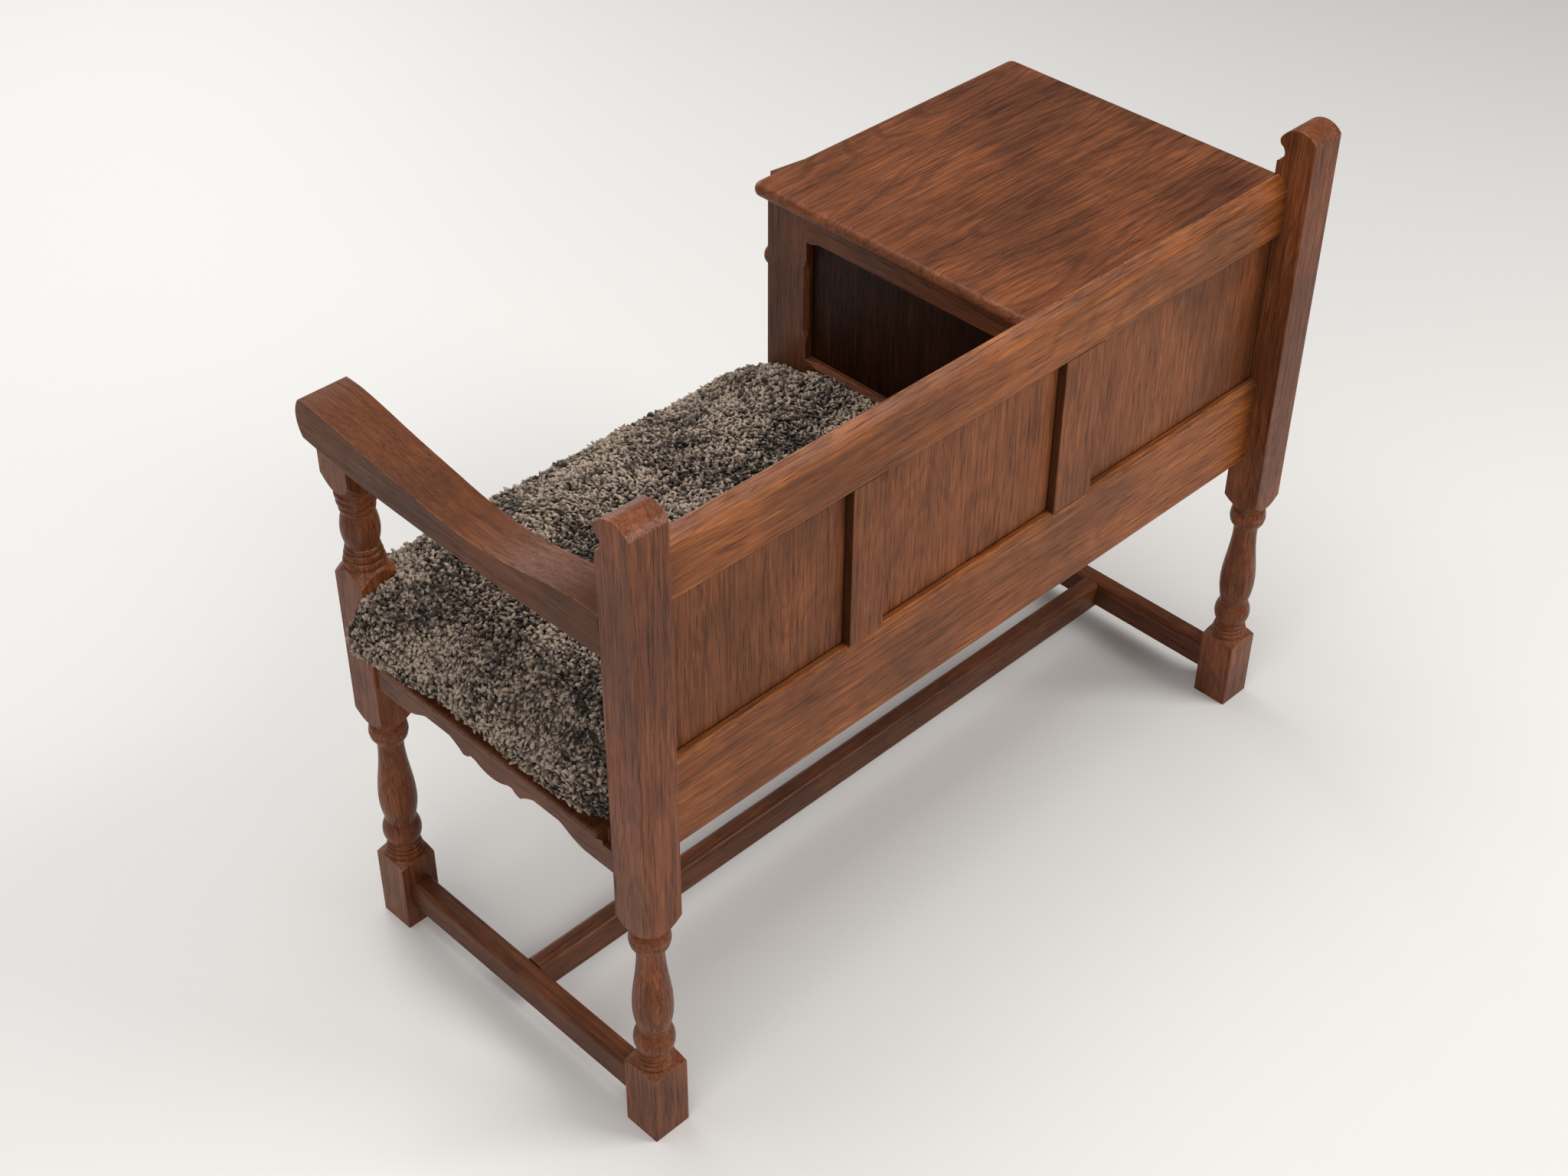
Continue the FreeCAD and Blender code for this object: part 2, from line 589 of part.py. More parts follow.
def hinge(foot):
    """Return one butt hinge, closed: the case leaf, the door leaf, the pin and two sets of screws."""
    knuckles = 5
    pitch = HINGE_LONG / knuckles
    half_gap = HINGE_GAP / 4
    leaves = []
    for sign in (-1, 1):
        x0, x1 = sorted((HINGE_X + sign * half_gap, HINGE_X + sign * (half_gap + HINGE_LEAF)))
        leaf = box(x0, x1, HINGE_Y, HINGE_Y + HINGE_WIDE + BARREL_R, foot, foot + HINGE_LONG)
        leaf = leaf.cut(Part.makeCylinder(BARREL_R + 0.15, HINGE_LONG, V(HINGE_X, HINGE_Y, foot)))
        for index in range(knuckles):
            mine = (index % 2 == 0) == (sign < 0)
            low = foot + index * pitch
            if not mine:
                continue
            play = 0 if sign < 0 else 0.1
            length = pitch - 2 * play
            knuckle = Part.makeCylinder(BARREL_R, length, V(HINGE_X, HINGE_Y, low + play))
            neck = box(x0, x1, HINGE_Y, HINGE_Y + BARREL_R + 0.5, low + play, low + play + length)
            leaf = leaf.fuse(knuckle).fuse(neck)
        play = PIN_PLAY if sign > 0 else 0
        bore = Part.makeCylinder(PIN_R + play, HINGE_LONG + 2, V(HINGE_X, HINGE_Y, foot - 1))
        leaves.append(leaf.cut(bore).removeSplitter())
    pin = Part.makeCylinder(PIN_R, HINGE_LONG, V(HINGE_X, HINGE_Y, foot))
    for height in (foot - 1.2, foot + HINGE_LONG):
        pin = pin.fuse(Part.makeCylinder(BARREL_R - 0.4, 1.2, V(HINGE_X, HINGE_Y, height)))
    screws = {-1: [], 1: []}
    for sign in (-1, 1):
        for share in (0.14, 0.5, 0.86):
            depth = HINGE_Y + (BARREL_R + HINGE_WIDE) * (0.72 if share == 0.5 else 0.55)
            head = V(HINGE_X + sign * half_gap, depth, foot + HINGE_LONG * share)
            screws[sign].append(countersunk_screw(head, V(sign, 0, 0)))
    return leaves[0], leaves[1], pin, screws[-1], screws[1]


def door_knob():
    """Return the turned knob on the door's front, along -Y, from the front's surface."""
    turning = Outline(profile_xz(0), 0, 0)
    turning.line(8.0, 0).line(8.0, 2.5).arc((5.6, 6.0), (6.2, 12.0))
    turning.arc((12.6, 16.0), (13.0, 20.5)).arc((9.5, 25.6), (1.5, 28.0)).line(0, 28.0)
    knob = turning.face().revolve(V(0, 0, 0), ALONG_Z, 360)
    knob.Placement = FreeCAD.Placement(V(KNOB_X, CASE_FRONT, KNOB_Z), FreeCAD.Rotation(ALONG_Z, FRONTWARD))
    return knob


def build():
    """Build every piece in its place; return the fixed pieces and the door's pieces."""
    fixed = {}
    fixed["front_leg_arm_side"] = placed(leg_arm_front(LEG_TOP), AXIS_X, -AXIS_Y)
    fixed["front_leg_cupboard_side"] = placed(leg_cabinet_front(), -AXIS_X, -AXIS_Y)
    fixed["back_post_arm_side"] = placed(back_post(), AXIS_X, AXIS_Y)
    fixed["back_post_cupboard_side"] = placed(back_post(), -AXIS_X, AXIS_Y)

    fixed["side_stretcher_arm_side"] = side_stretcher()
    fixed["side_stretcher_cupboard_side"] = side_stretcher().mirror(V(0, 0, 0), ALONG_X)
    fixed["centre_stretcher"] = centre_stretcher()
    for name in ("side_stretcher_arm_side", "side_stretcher_cupboard_side"):
        fixed[name] = fixed[name].cut(fixed["centre_stretcher"])

    arm = armrest()
    peg = Part.makeCylinder(PEG_R, PEG_LONG, V(AXIS_X, -AXIS_Y, PEG_LOW))
    leg = fixed["front_leg_arm_side"].cut(arm).fuse(peg).removeSplitter()
    fixed["front_leg_arm_side"] = leg
    arm_tenon = box(AXIS_X - 8, AXIS_X + 8, INNER_Y - 2, INNER_Y + TENON, ARM_TENON[0], ARM_TENON[1])
    fixed["armrest"] = arm.fuse(arm_tenon).cut(leg).removeSplitter()

    long_apron = apron(2 * INNER_X, APRON_THICK, (-SCALLOP_PITCH, 0.0, SCALLOP_PITCH))
    long_apron.translate(V(0, -HALF_DEPTH + APRON_INSET, 0))
    fixed["front_apron"] = long_apron
    short_apron = apron(2 * INNER_Y, APRON_THICK, (0.0,))
    short_apron.rotate(V(0, 0, 0), ALONG_Z, 90)
    short_apron.translate(V(HALF_WIDTH - APRON_INSET, 0, 0))
    fixed["side_apron_arm_side"] = short_apron
    fixed["side_apron_cupboard_side"] = short_apron.mirror(V(0, 0, 0), ALONG_X)
    fixed["seat_board"] = seat_board()
    fixed["rear_seat_batten"] = board(-INNER_X + 8, INNER_X - 8, BACK_FRONT - BATTEN, BACK_FRONT,
                                      SEAT_LOW - BATTEN, SEAT_LOW, ALONG_X, FRAME_ARRIS)
    fixed["seat_pad"] = seat_pad()
    fixed["sheepskin_cover"] = cushion_form().cut(fixed["seat_pad"])

    fixed["back_top_rail"] = back_top_rail()
    fixed["back_bottom_rail"] = back_bottom_rail()
    for side, (x0, x1) in MUNTINS.items():
        fixed["back_muntin_%s_side" % side] = back_muntin(x0, x1)
    fixed["back_panel_arm_side"] = back_panel(MUNTINS["arm"][1], INNER_X)
    fixed["back_panel_middle"] = back_panel(MUNTINS["cupboard"][1], MUNTINS["arm"][0])
    fixed["back_panel_cupboard_side"] = back_panel(-INNER_X, MUNTINS["cupboard"][0])

    side_width = BACK_FRONT - SIDE_FRONT
    outer_width = INNER_Y - SIDE_FRONT
    height = TOP_LOW - SEAT_TOP
    side = panelled_frame(side_width, height, SIDE_THICK, (STILE, STILE), SIDE_TOP_RAIL, SIDE_BOTTOM_RAIL,
                          SIDE_PANEL_SETBACK)
    side = turned_to_side(side, 90, SIDE_X, SIDE_FRONT, SEAT_TOP)
    side_names = {"stile_left": "front_stile", "stile_right": "rear_stile"}
    for name, shape in side.items():
        fixed["inner_side_%s" % side_names.get(name, name)] = shape
    outer = panelled_frame(outer_width, height, SIDE_THICK, (STILE, STILE), SIDE_TOP_RAIL, SIDE_BOTTOM_RAIL,
                           SIDE_PANEL_SETBACK)
    outer = turned_to_side(outer, -90, -HALF_WIDTH, INNER_Y, SEAT_TOP)
    outer_names = {"stile_left": "rear_stile", "stile_right": "front_stile"}
    for name, shape in outer.items():
        fixed["outer_side_%s" % outer_names.get(name, name)] = shape
    fixed["face_stile_knob_side"] = board(SIDE_X - FACE_STILE, SIDE_X, CASE_FRONT, SIDE_FRONT, SEAT_TOP,
                                          TOP_LOW, ALONG_Z, FRAME_ARRIS)
    fixed["face_stile_hinge_side"] = board(-HALF_WIDTH, -HALF_WIDTH + FACE_STILE, CASE_FRONT, SIDE_FRONT,
                                           SEAT_TOP, TOP_LOW, ALONG_Z, FRAME_ARRIS)
    door_back = CASE_FRONT + DOOR_THICK
    stop_front = door_back + STOP_PLAY
    fixed["door_stop_rail"] = board(-HALF_WIDTH + SIDE_THICK, SIDE_X - SIDE_THICK, stop_front,
                                    door_back + STOP_DEEP, TOP_LOW - STOP_DEEP, TOP_LOW, ALONG_X, FRAME_ARRIS)
    fixed["table_top"] = table_top().cut(fixed["back_post_cupboard_side"])

    door = {}
    frame = panelled_frame(DOOR_RIGHT - DOOR_LEFT, DOOR_TOP - DOOR_LOW, DOOR_THICK, (DOOR_STILE, DOOR_STILE),
                           DOOR_STILE, DOOR_BOTTOM_RAIL, DOOR_PANEL_SETBACK)
    door_names = {"stile_left": "door_hinge_stile", "stile_right": "door_knob_stile",
                  "top_rail": "door_top_rail", "bottom_rail": "door_bottom_rail", "panel": "door_panel"}
    for name, shape in turned_to_side(frame, 0, DOOR_LEFT, CASE_FRONT, DOOR_LOW).items():
        door[door_names[name]] = shape
    knob_screw = countersunk_screw(V(KNOB_X, door_back, KNOB_Z), FRONTWARD)
    shank = Part.makeCylinder(SCREW_R, 18.0, V(KNOB_X, door_back - 6, KNOB_Z), FRONTWARD)
    door["knob_screw"] = knob_screw.fuse(shank).removeSplitter()
    door["door_knob"] = door_knob().cut(door["knob_screw"])
    door["door_knob_stile"] = door["door_knob_stile"].cut(door["knob_screw"])

    plate_x = DOOR_RIGHT - PLATE_FROM_EDGE
    door["catch_plate"] = box(plate_x, plate_x + PLATE_LONG, door_back - PLATE_THICK, door_back,
                              DOOR_TOP - PLATE_HIGH - 2, DOOR_TOP - 2)
    for name in ("door_top_rail", "door_knob_stile"):
        door[name] = door[name].cut(door["catch_plate"])
    fixed["catch_magnet"] = box(plate_x + 4, plate_x + PLATE_LONG - 4, stop_front + 0.2, stop_front + 9,
                                TOP_LOW - 15, TOP_LOW - 6)
    fixed["door_stop_rail"] = fixed["door_stop_rail"].cut(fixed["catch_magnet"])

    case_leaves, door_leaves, pins, case_screws, door_screws = [], [], [], [], []
    for foot in HINGE_FEET:
        case_leaf, door_leaf, pin, case_set, door_set = hinge(foot)
        for screw in case_set:
            case_leaf = case_leaf.cut(screw)
        for screw in door_set:
            door_leaf = door_leaf.cut(screw)
        case_leaves.append(case_leaf)
        door_leaves.append(door_leaf)
        pins.append(pin)
        case_screws += case_set
        door_screws += door_set
    fixed["hinge_case_leaves"] = Part.makeCompound(case_leaves)
    fixed["hinge_pins"] = Part.makeCompound(pins)
    fixed["hinge_case_screws"] = Part.makeCompound(case_screws)
    door["hinge_door_leaves"] = Part.makeCompound(door_leaves)
    door["hinge_door_screws"] = Part.makeCompound(door_screws)
    for shape in case_leaves + case_screws:
        fixed["face_stile_hinge_side"] = fixed["face_stile_hinge_side"].cut(shape)
    for shape in door_leaves + door_screws:
        door["door_hinge_stile"] = door["door_hinge_stile"].cut(shape)

    mortises = {
        "front_leg_arm_side": ("front_apron", "side_apron_arm_side", "side_stretcher_arm_side"),
        "front_leg_cupboard_side": ("front_apron", "side_apron_cupboard_side",
                                    "side_stretcher_cupboard_side"),
        "back_post_arm_side": ("side_apron_arm_side", "side_stretcher_arm_side", "back_top_rail",
                               "back_bottom_rail", "back_panel_arm_side", "armrest"),
        "back_post_cupboard_side": ("side_apron_cupboard_side", "side_stretcher_cupboard_side",
                                    "back_top_rail", "back_bottom_rail", "back_panel_cupboard_side"),
        "back_top_rail": ("back_muntin_arm_side", "back_muntin_cupboard_side", "back_panel_arm_side",
                          "back_panel_middle", "back_panel_cupboard_side"),
        "back_bottom_rail": ("back_muntin_arm_side", "back_muntin_cupboard_side", "back_panel_arm_side",
                             "back_panel_middle", "back_panel_cupboard_side"),
        "back_muntin_arm_side": ("back_panel_arm_side", "back_panel_middle"),
        "back_muntin_cupboard_side": ("back_panel_middle", "back_panel_cupboard_side"),
    }
    for name, guests in mortises.items():
        for guest in guests:
            fixed[name] = fixed[name].cut(fixed[guest])
    return fixed, door


def main():
    """Build, stand the door ajar, move the origin to the middle and write one file per piece."""
    os.makedirs("parts", exist_ok=True)
    fixed, door = build()
    hinge_foot = V(HINGE_X, HINGE_Y, 0)
    for name, shape in door.items():
        turned = shape.copy()
        turned.rotate(hinge_foot, ALONG_Z, -DOOR_AJAR)
        door[name] = turned
    pieces = dict(fixed)
    pieces.update(door)
    whole = Part.makeCompound(list(pieces.values())).optimalBoundingBox(False)
    shift = V(-(whole.XMin + whole.XMax) / 2, -(whole.YMin + whole.YMax) / 2, 0)
    for name, shape in pieces.items():
        moved = shape.copy()
        moved.translate(shift)
        moved.exportStep("parts/%s.step" % name)
        print("%-32s valid %s solids %d volume %.1f cm3" % (name, moved.isValid(), len(moved.Solids),
                                                          moved.Volume / 1000))
    print("pieces", len(pieces), "fixed", sorted(fixed), "door", sorted(door))
    print("shift %.3f %.3f" % (shift.x, shift.y))
    print("hinge axis %.3f %.3f" % (HINGE_X + shift.x, HINGE_Y + shift.y))
    print("size %.1f x %.1f x %.1f" % (whole.XLength, whole.YLength, whole.ZLength))


if __name__ == "__main__":
    main()
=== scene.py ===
"""Telephone bench: the looks of a stained oak hall bench with a cupboard and a sheepskin seat.

Lengths are in metres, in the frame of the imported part: +Z up, +X towards the arm's end, and -Y to
the front.
"""

import json
import logging
import math
import random
from dataclasses import dataclass, field
from enum import Enum
from typing import Any, Optional, Sequence, Union

import bmesh
import bpy
from mathutils import Matrix, Vector, noise

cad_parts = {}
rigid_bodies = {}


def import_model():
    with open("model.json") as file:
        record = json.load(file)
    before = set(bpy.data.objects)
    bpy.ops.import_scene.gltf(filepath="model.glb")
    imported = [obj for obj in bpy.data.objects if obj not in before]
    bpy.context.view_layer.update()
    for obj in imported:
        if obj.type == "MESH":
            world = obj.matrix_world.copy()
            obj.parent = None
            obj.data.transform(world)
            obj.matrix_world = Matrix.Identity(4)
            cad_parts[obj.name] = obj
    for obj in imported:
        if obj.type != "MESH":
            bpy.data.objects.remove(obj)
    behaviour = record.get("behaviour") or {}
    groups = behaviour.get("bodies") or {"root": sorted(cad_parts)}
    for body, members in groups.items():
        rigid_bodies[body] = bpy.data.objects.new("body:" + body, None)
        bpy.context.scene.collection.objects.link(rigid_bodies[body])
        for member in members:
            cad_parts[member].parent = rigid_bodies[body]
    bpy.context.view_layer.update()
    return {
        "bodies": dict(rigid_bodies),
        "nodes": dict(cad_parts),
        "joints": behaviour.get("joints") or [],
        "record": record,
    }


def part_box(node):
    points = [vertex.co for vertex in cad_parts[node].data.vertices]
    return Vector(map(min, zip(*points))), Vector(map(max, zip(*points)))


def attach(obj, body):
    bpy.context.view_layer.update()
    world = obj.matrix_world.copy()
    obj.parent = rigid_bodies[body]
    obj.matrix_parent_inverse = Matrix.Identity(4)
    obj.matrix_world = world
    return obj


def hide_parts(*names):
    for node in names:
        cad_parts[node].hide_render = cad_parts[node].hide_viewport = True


LOG = logging.getLogger("telephone_bench")

MM = 0.001
PHOTO_WIDTH = 2048
SENSOR = 36.0

FLOAT = "NodeSocketFloat"
COLOUR = "NodeSocketColor"
VECTOR = "NodeSocketVector"
BLACK = (0.0, 0.0, 0.0, 1.0)

Socket = bpy.types.NodeSocket
Value = Union[bpy.types.NodeSocket, float, Sequence[float]]
Triple = tuple[float, float, float]
SocketRow = tuple[str, str, Any]


class Grain(Enum):
    """The way the wood's grain runs in a piece, as turns about X, Y and Z in degrees."""

    ALONG_X = (0.0, 0.0, 0.0)
    ALONG_Y = (0.0, 0.0, 90.0)
    ALONG_Z = (0.0, 90.0, 0.0)


@dataclass(frozen=True)
class WoodFinish:
    """One finish of stained and polished oak.

    Args:
        dark: colour in the depth of the grain.
        mid: the main colour.
        light: colour of the light streaks.
        worn_and_highlight: colour where the polish is rubbed through, also a painted highlight
            along the arrises.
        gloss: roughness of the polish, 0 for a mirror.
        wear_and_highlight: how much of the edges is rubbed and carries a painted highlight, from 0
            to 1.
        coat: weight of the clear polish.
        streak: how strongly the grain shows, from 0 to 1.
        sheen_level: how strongly the polish mirrors its surroundings.
        arris: radius that the sharp edges are softened to.
    """

    dark: Triple
    mid: Triple
    light: Triple
    worn_and_highlight: Triple
    gloss: float
    wear_and_highlight: float
    coat: float = 0.0
    streak: float = 0.60
    sheen_level: float = 0.17
    arris: float = 0.8 * MM


STAINED = WoodFinish(
    dark=(0.034, 0.0095, 0.0034),
    mid=(0.108, 0.033, 0.0120),
    light=(0.178, 0.060, 0.022),
    worn_and_highlight=(0.44, 0.21, 0.10),
    gloss=0.40,
    wear_and_highlight=0.85,
    coat=0.04,
)
TURNED = WoodFinish(
    dark=(0.042, 0.0112, 0.0038),
    mid=(0.158, 0.0455, 0.0158),
    light=(0.255, 0.087, 0.032),
    worn_and_highlight=(0.46, 0.23, 0.12),
    gloss=0.36,
    wear_and_highlight=0.85,
    coat=0.05,
    streak=0.70,
)
PANEL = WoodFinish(
    dark=(0.054, 0.0145, 0.0042),
    mid=(0.175, 0.052, 0.0145),
    light=(0.280, 0.093, 0.028),
    worn_and_highlight=(0.34, 0.15, 0.075),
    gloss=0.44,
    wear_and_highlight=0.35,
    coat=0.03,
)
RAIL = WoodFinish(
    dark=(0.062, 0.0155, 0.0036),
    mid=(0.215, 0.062, 0.0145),
    light=(0.380, 0.130, 0.030),
    worn_and_highlight=(0.66, 0.36, 0.18),
    gloss=0.42,
    wear_and_highlight=1.0,
    coat=0.04,
)
SHADED = WoodFinish(
    dark=(0.0045, 0.0011, 0.0004),
    mid=(0.018, 0.0046, 0.0016),
    light=(0.052, 0.0150, 0.0052),
    worn_and_highlight=(0.16, 0.050, 0.020),
    gloss=0.42,
    wear_and_highlight=0.45,
    sheen_level=0.10,
)
POLISHED = WoodFinish(
    dark=(0.044, 0.0120, 0.0042),
    mid=(0.140, 0.042, 0.0145),
    light=(0.205, 0.066, 0.0225),
    worn_and_highlight=(0.50, 0.24, 0.11),
    gloss=0.34,
    wear_and_highlight=0.80,
    coat=0.07,
    streak=0.95,
)
HANDLED = WoodFinish(
    dark=(0.044, 0.0112, 0.0028),
    mid=(0.096, 0.0270, 0.0066),
    light=(0.150, 0.0460, 0.0115),
    worn_and_highlight=(0.50, 0.23, 0.09),
    gloss=0.42,
    wear_and_highlight=0.90,
    coat=0.03,
)
PLAIN = WoodFinish(
    dark=(0.16, 0.085, 0.040),
    mid=(0.30, 0.18, 0.095),
    light=(0.42, 0.27, 0.15),
    worn_and_highlight=(0.45, 0.30, 0.18),
    gloss=0.70,
    wear_and_highlight=0.10,
)


@dataclass(frozen=True)
class MetalFinish:
    """One finish of aged metal, or of the catch's block.

    Args:
        bright: colour where it is rubbed.
        dull: colour where it has gone dull.
        gloss: roughness where it is rubbed.
        metallic: 1 for bare metal and 0 for a pressed block.
    """

    bright: Triple
    dull: Triple
    gloss: float
    metallic: float = 1.0


BRASS = MetalFinish((0.66, 0.45, 0.18), (0.26, 0.16, 0.065), 0.30)
STEEL = MetalFinish((0.56, 0.56, 0.57), (0.30, 0.29, 0.28), 0.34)
BLOCK = MetalFinish((0.05, 0.045, 0.04), (0.02, 0.018, 0.016), 0.6, metallic=0.0)


@dataclass(frozen=True)
class WoolFinish:
    """The colours of a curly fleece.

    Args:
        root: colour low on the locks and on the ground between them, a painted shade deep in the
            pile.
        staple: colour along the locks.
        tip: colour of the bleached tips.
        skin: colour of the hide and its short wool at the hem.
        sheen_level: how strongly the wool mirrors its surroundings.
        fuzz: weight of the pale haze on wool seen edge on.
        fuzz_rough: how wide that haze spreads.
    """

    root: Triple = (0.0055, 0.0036, 0.0024)
    staple: Triple = (0.054, 0.037, 0.0255)
    tip: Triple = (0.400, 0.310, 0.238)
    skin: Triple = (0.25, 0.175, 0.11)
    sheen_level: float = 0.15
    fuzz: float = 0.10
    fuzz_rough: float = 0.6


@dataclass(frozen=True)
class Pattern:
    """A noise that is drawn out along the grain.

    Args:
        along: how much finer it is along the grain.
        across: how much finer it is across the grain.
        scale: the noise's own scale.
        detail: the noise's octaves.
        roughness: how strong the finer octaves are.
        distortion: how far the noise is warped.
    """

    along: float
    across: float
    scale: float
    detail: float
    roughness: float
    distortion: float = 0.0


BANDS = Pattern(1.3, 17.0, 3.0, 3.0, 0.55, 0.05)
STREAKS = Pattern(3.2, 100.0, 3.0, 3.0, 0.6, 0.03)
FIBRES = Pattern(8.0, 300.0, 3.0, 2.0, 0.6)
PORES = Pattern(16.0, 620.0, 2.4, 1.0, 0.5)
FIGURE = Pattern(1.0, 6.0, 2.1, 1.0, 0.35, 0.2)
SCRATCHES = Pattern(60.0, 900.0, 3.0, 2.0, 0.5)

# Shares of the oak's tone, and the rings that its figure is cut into.
STREAK_SHARE = 0.25
BAND_SHARE = 0.27
FIBRE_SHARE = 0.48
RING_SHARE = 0.014
RING_COUNT = 88.0
RING_WAVER = 1.6
RING_DEPTH = 0.55
MIDDLE_TONE = 0.50
PORE_DEPTH = 0.70
SCUFF_SHARE = 0.25
CLOUD_LOW = 0.74
CLOUD_RANGE = 0.48
# Painted shade and grime: the colour and strength that darken a panel at its frame and the sides of
# the back's uprights.
GRIME_AND_SHADE = (0.006, 0.0025, 0.0012)
GRIME_AND_SHADE_DEPTH = 0.85
SIDE_GRIME_AND_SHADE = 0.8

# What haze, rubbing and pores do to the oak's roughness, and the shares of its relief.
HAZE_SWING = 0.20
RUBBED_ROUGH = 0.12
PORE_ROUGH = 0.12
COAT_ROUGH = 0.22
FIBRE_HEIGHT = 0.35
STREAK_HEIGHT = 0.4
PORE_HEIGHT = 0.8

# What dull patches and scratches add to a metal's roughness.
PATCH_ROUGH = 0.25
SCRATCH_ROUGH = 0.08

# How far each pattern moves the wool's tone, and how much of the hide shows at its hem.
PATCH_SWING = 1.6
LOCK_SWING = 0.42
TUFT_SWING = 0.80
FIBRE_SWING = 0.60
HIDE_SHARE = 0.55

# Relief of each effect, from its lowest to its highest point.
OAK_RELIEF = 0.20 * MM
METAL_RELIEF = 0.03 * MM
WOOL_RELIEF = 0.5 * MM

# The point colour that says how high on its lock a point is, the lock's tint and the hem.
STAPLE = "staple"
# The ground stands low on that scale, so it takes the painted shade of the roots.
GROUND_RISE = 0.12
MIDDLE_TINT = 0.5


class NodeTree:
    """Adds and links the nodes of one shader tree."""

    def __init__(self, tree: bpy.types.NodeTree) -> None:
        """Start at the tree's first place.

        Args:
            tree: the node tree to build in.
        """
        self.tree = tree
        self.column = 0
        self.source: Optional[bpy.types.Node] = None
        self.sink: Optional[bpy.types.Node] = None

    def add(self, kind: str, **settings: Any) -> bpy.types.Node:
        """Add a node, set its attributes and feed its inputs.

        Args:
            kind: the node's type name.
            settings: attributes by name, and inputs as a dict under the name inputs.

        Returns:
            The new node.
        """
        node = self.tree.nodes.new(kind)
        node.location = (self.column * 190, 0)
        self.column += 1
        inputs = settings.pop("inputs", {})
        for name, value in settings.items():
            setattr(node, name, value)
        for name, value in inputs.items():
            self.feed(node.inputs[name], value)
        return node

    def feed(self, socket: Socket, value: Value) -> None:
        """Link a socket to another, or set its constant.

        Args:
            socket: the input socket.
            value: an output socket, a number, a vector or a colour.
        """
        if isinstance(value, bpy.types.NodeSocket):
            self.tree.links.new(value, socket)
        elif isinstance(value, (tuple, list)) and len(value) == 3 and socket.type == "RGBA":
            socket.default_value = (*value, 1.0)
        else:
            socket.default_value = value

    def math(self, operation: str, first: Value, second: Optional[Value] = None,
             third: Optional[Value] = None, clamp: bool = False) -> Socket:
        """Add a math node.

        Args:
            operation: what it does.
            first: its first value.
            second: its second value.
            third: its third value.
            clamp: whether the result stays within 0 and 1.

        Returns:
            Its output.
        """
        node = self.add("ShaderNodeMath", operation=operation, use_clamp=clamp)
        for index, value in enumerate((first, second, third)):
            if value is not None:
                self.feed(node.inputs[index], value)
        return node.outputs[0]

    def vector(self, operation: str, first: Value, second: Optional[Value] = None) -> Socket:
        """Add a vector math node.

        Args:
            operation: what it does.
            first: its first vector.
            second: its second vector.

        Returns:
            Its vector output.
        """
        node = self.add("ShaderNodeVectorMath", operation=operation)
        self.feed(node.inputs[0], first)
        if second is not None:
            self.feed(node.inputs[1], second)
        return node.outputs[0]

    def mix(self, factor: Value, first: Value, second: Value, blend: str = "MIX") -> Socket:
        """Mix two colours.

        Args:
            factor: 0 for the first and 1 for the second.
            first: the first colour.
            second: the second colour.
            blend: the way of mixing.

        Returns:
            The colour output.
        """
        node = self.add("ShaderNodeMix", data_type="RGBA", blend_type=blend)
        self.feed(node.inputs["Factor"], factor)
        self.feed(node.inputs[6], first)
        self.feed(node.inputs[7], second)
        return node.outputs[2]

    def ramp(self, value: Value, low: float, high: float) -> Socket:
        """Map a value from low..high to a smooth 0..1.

        Args:
            value: the value.
            low: what becomes 0.
            high: what becomes 1.

        Returns:
            The output.
        """
        node = self.add("ShaderNodeMapRange", interpolation_type="SMOOTHSTEP")
        self.feed(node.inputs["Value"], value)
        node.inputs["From Min"].default_value = low
        node.inputs["From Max"].default_value = high
        return node.outputs["Result"]

    def noise(self, vector: Value, scale: float, detail: float, roughness: float,
              distortion: float = 0.0) -> Socket:
        """Add a noise texture.

        Args:
            vector: where it is read.
            scale: its scale.
            detail: its octaves.
            roughness: how strong the finer octaves are.
            distortion: how far it is warped.

        Returns:
            Its value, about 0.5 on average.
        """
        node = self.add("ShaderNodeTexNoise")
        self.feed(node.inputs["Vector"], vector)
        node.inputs["Scale"].default_value = scale
        node.inputs["Detail"].default_value = detail
        node.inputs["Roughness"].default_value = roughness
        node.inputs["Distortion"].default_value = distortion
        return node.outputs["Fac"]

    def grain(self, vector: Value, pattern: Pattern) -> Socket:
        """Add a noise that is drawn out along X.

        Args:
            vector: where it is read.
            pattern: its numbers.

        Returns:
            Its value.
        """
        drawn = self.vector("MULTIPLY", vector, (pattern.along, pattern.across, pattern.across))
        return self.noise(drawn, pattern.scale, pattern.detail, pattern.roughness,
                          pattern.distortion)

    def sway(self, value: Value, weight: float, base: Value) -> Socket:
        """Add a noise's swing about its average to a value.

        Args:
            value: the noise.
            weight: how much of it is added.
            base: what it is added to.

        Returns:
            The output.
        """
        return self.math("MULTIPLY_ADD", self.math("SUBTRACT", value, 0.5), weight, base)

    def finish(self, colour: Value, roughness: Value, height: Value) -> None:
        """Feed the outputs of an effect's group.

        Args:
            colour: the surface's colour.
            roughness: its roughness.
            height: its relief, from 0 to 1.
        """
        self.feed(self.sink.inputs["Color"], colour)
        self.feed(self.sink.inputs["Roughness"], roughness)
        self.feed(self.sink.inputs["Height"], height)


def new_effect(name: str, inputs: Sequence[SocketRow]) -> tuple[bpy.types.NodeTree, NodeTree]:
    """Make the node group of an effect, with a colour, a roughness and a height coming out.

    Args:
        name: the group's name.
        inputs: name, socket type and default of each input.

    Returns:
        The group and its helper, with the input node in .source and the output node in .sink.
    """
    group = bpy.data.node_groups.new(name, "ShaderNodeTree")
    for label, kind, default in inputs:
        socket = group.interface.new_socket(label, in_out="INPUT", socket_type=kind)
        if default is not None:
            socket.default_value = default
    for label, kind in (("Color", COLOUR), ("Roughness", FLOAT), ("Height", FLOAT)):
        group.interface.new_socket(label, in_out="OUTPUT", socket_type=kind)
    helper = NodeTree(group)
    helper.source = helper.add("NodeGroupInput")
    helper.sink = helper.add("NodeGroupOutput")
    return group, helper


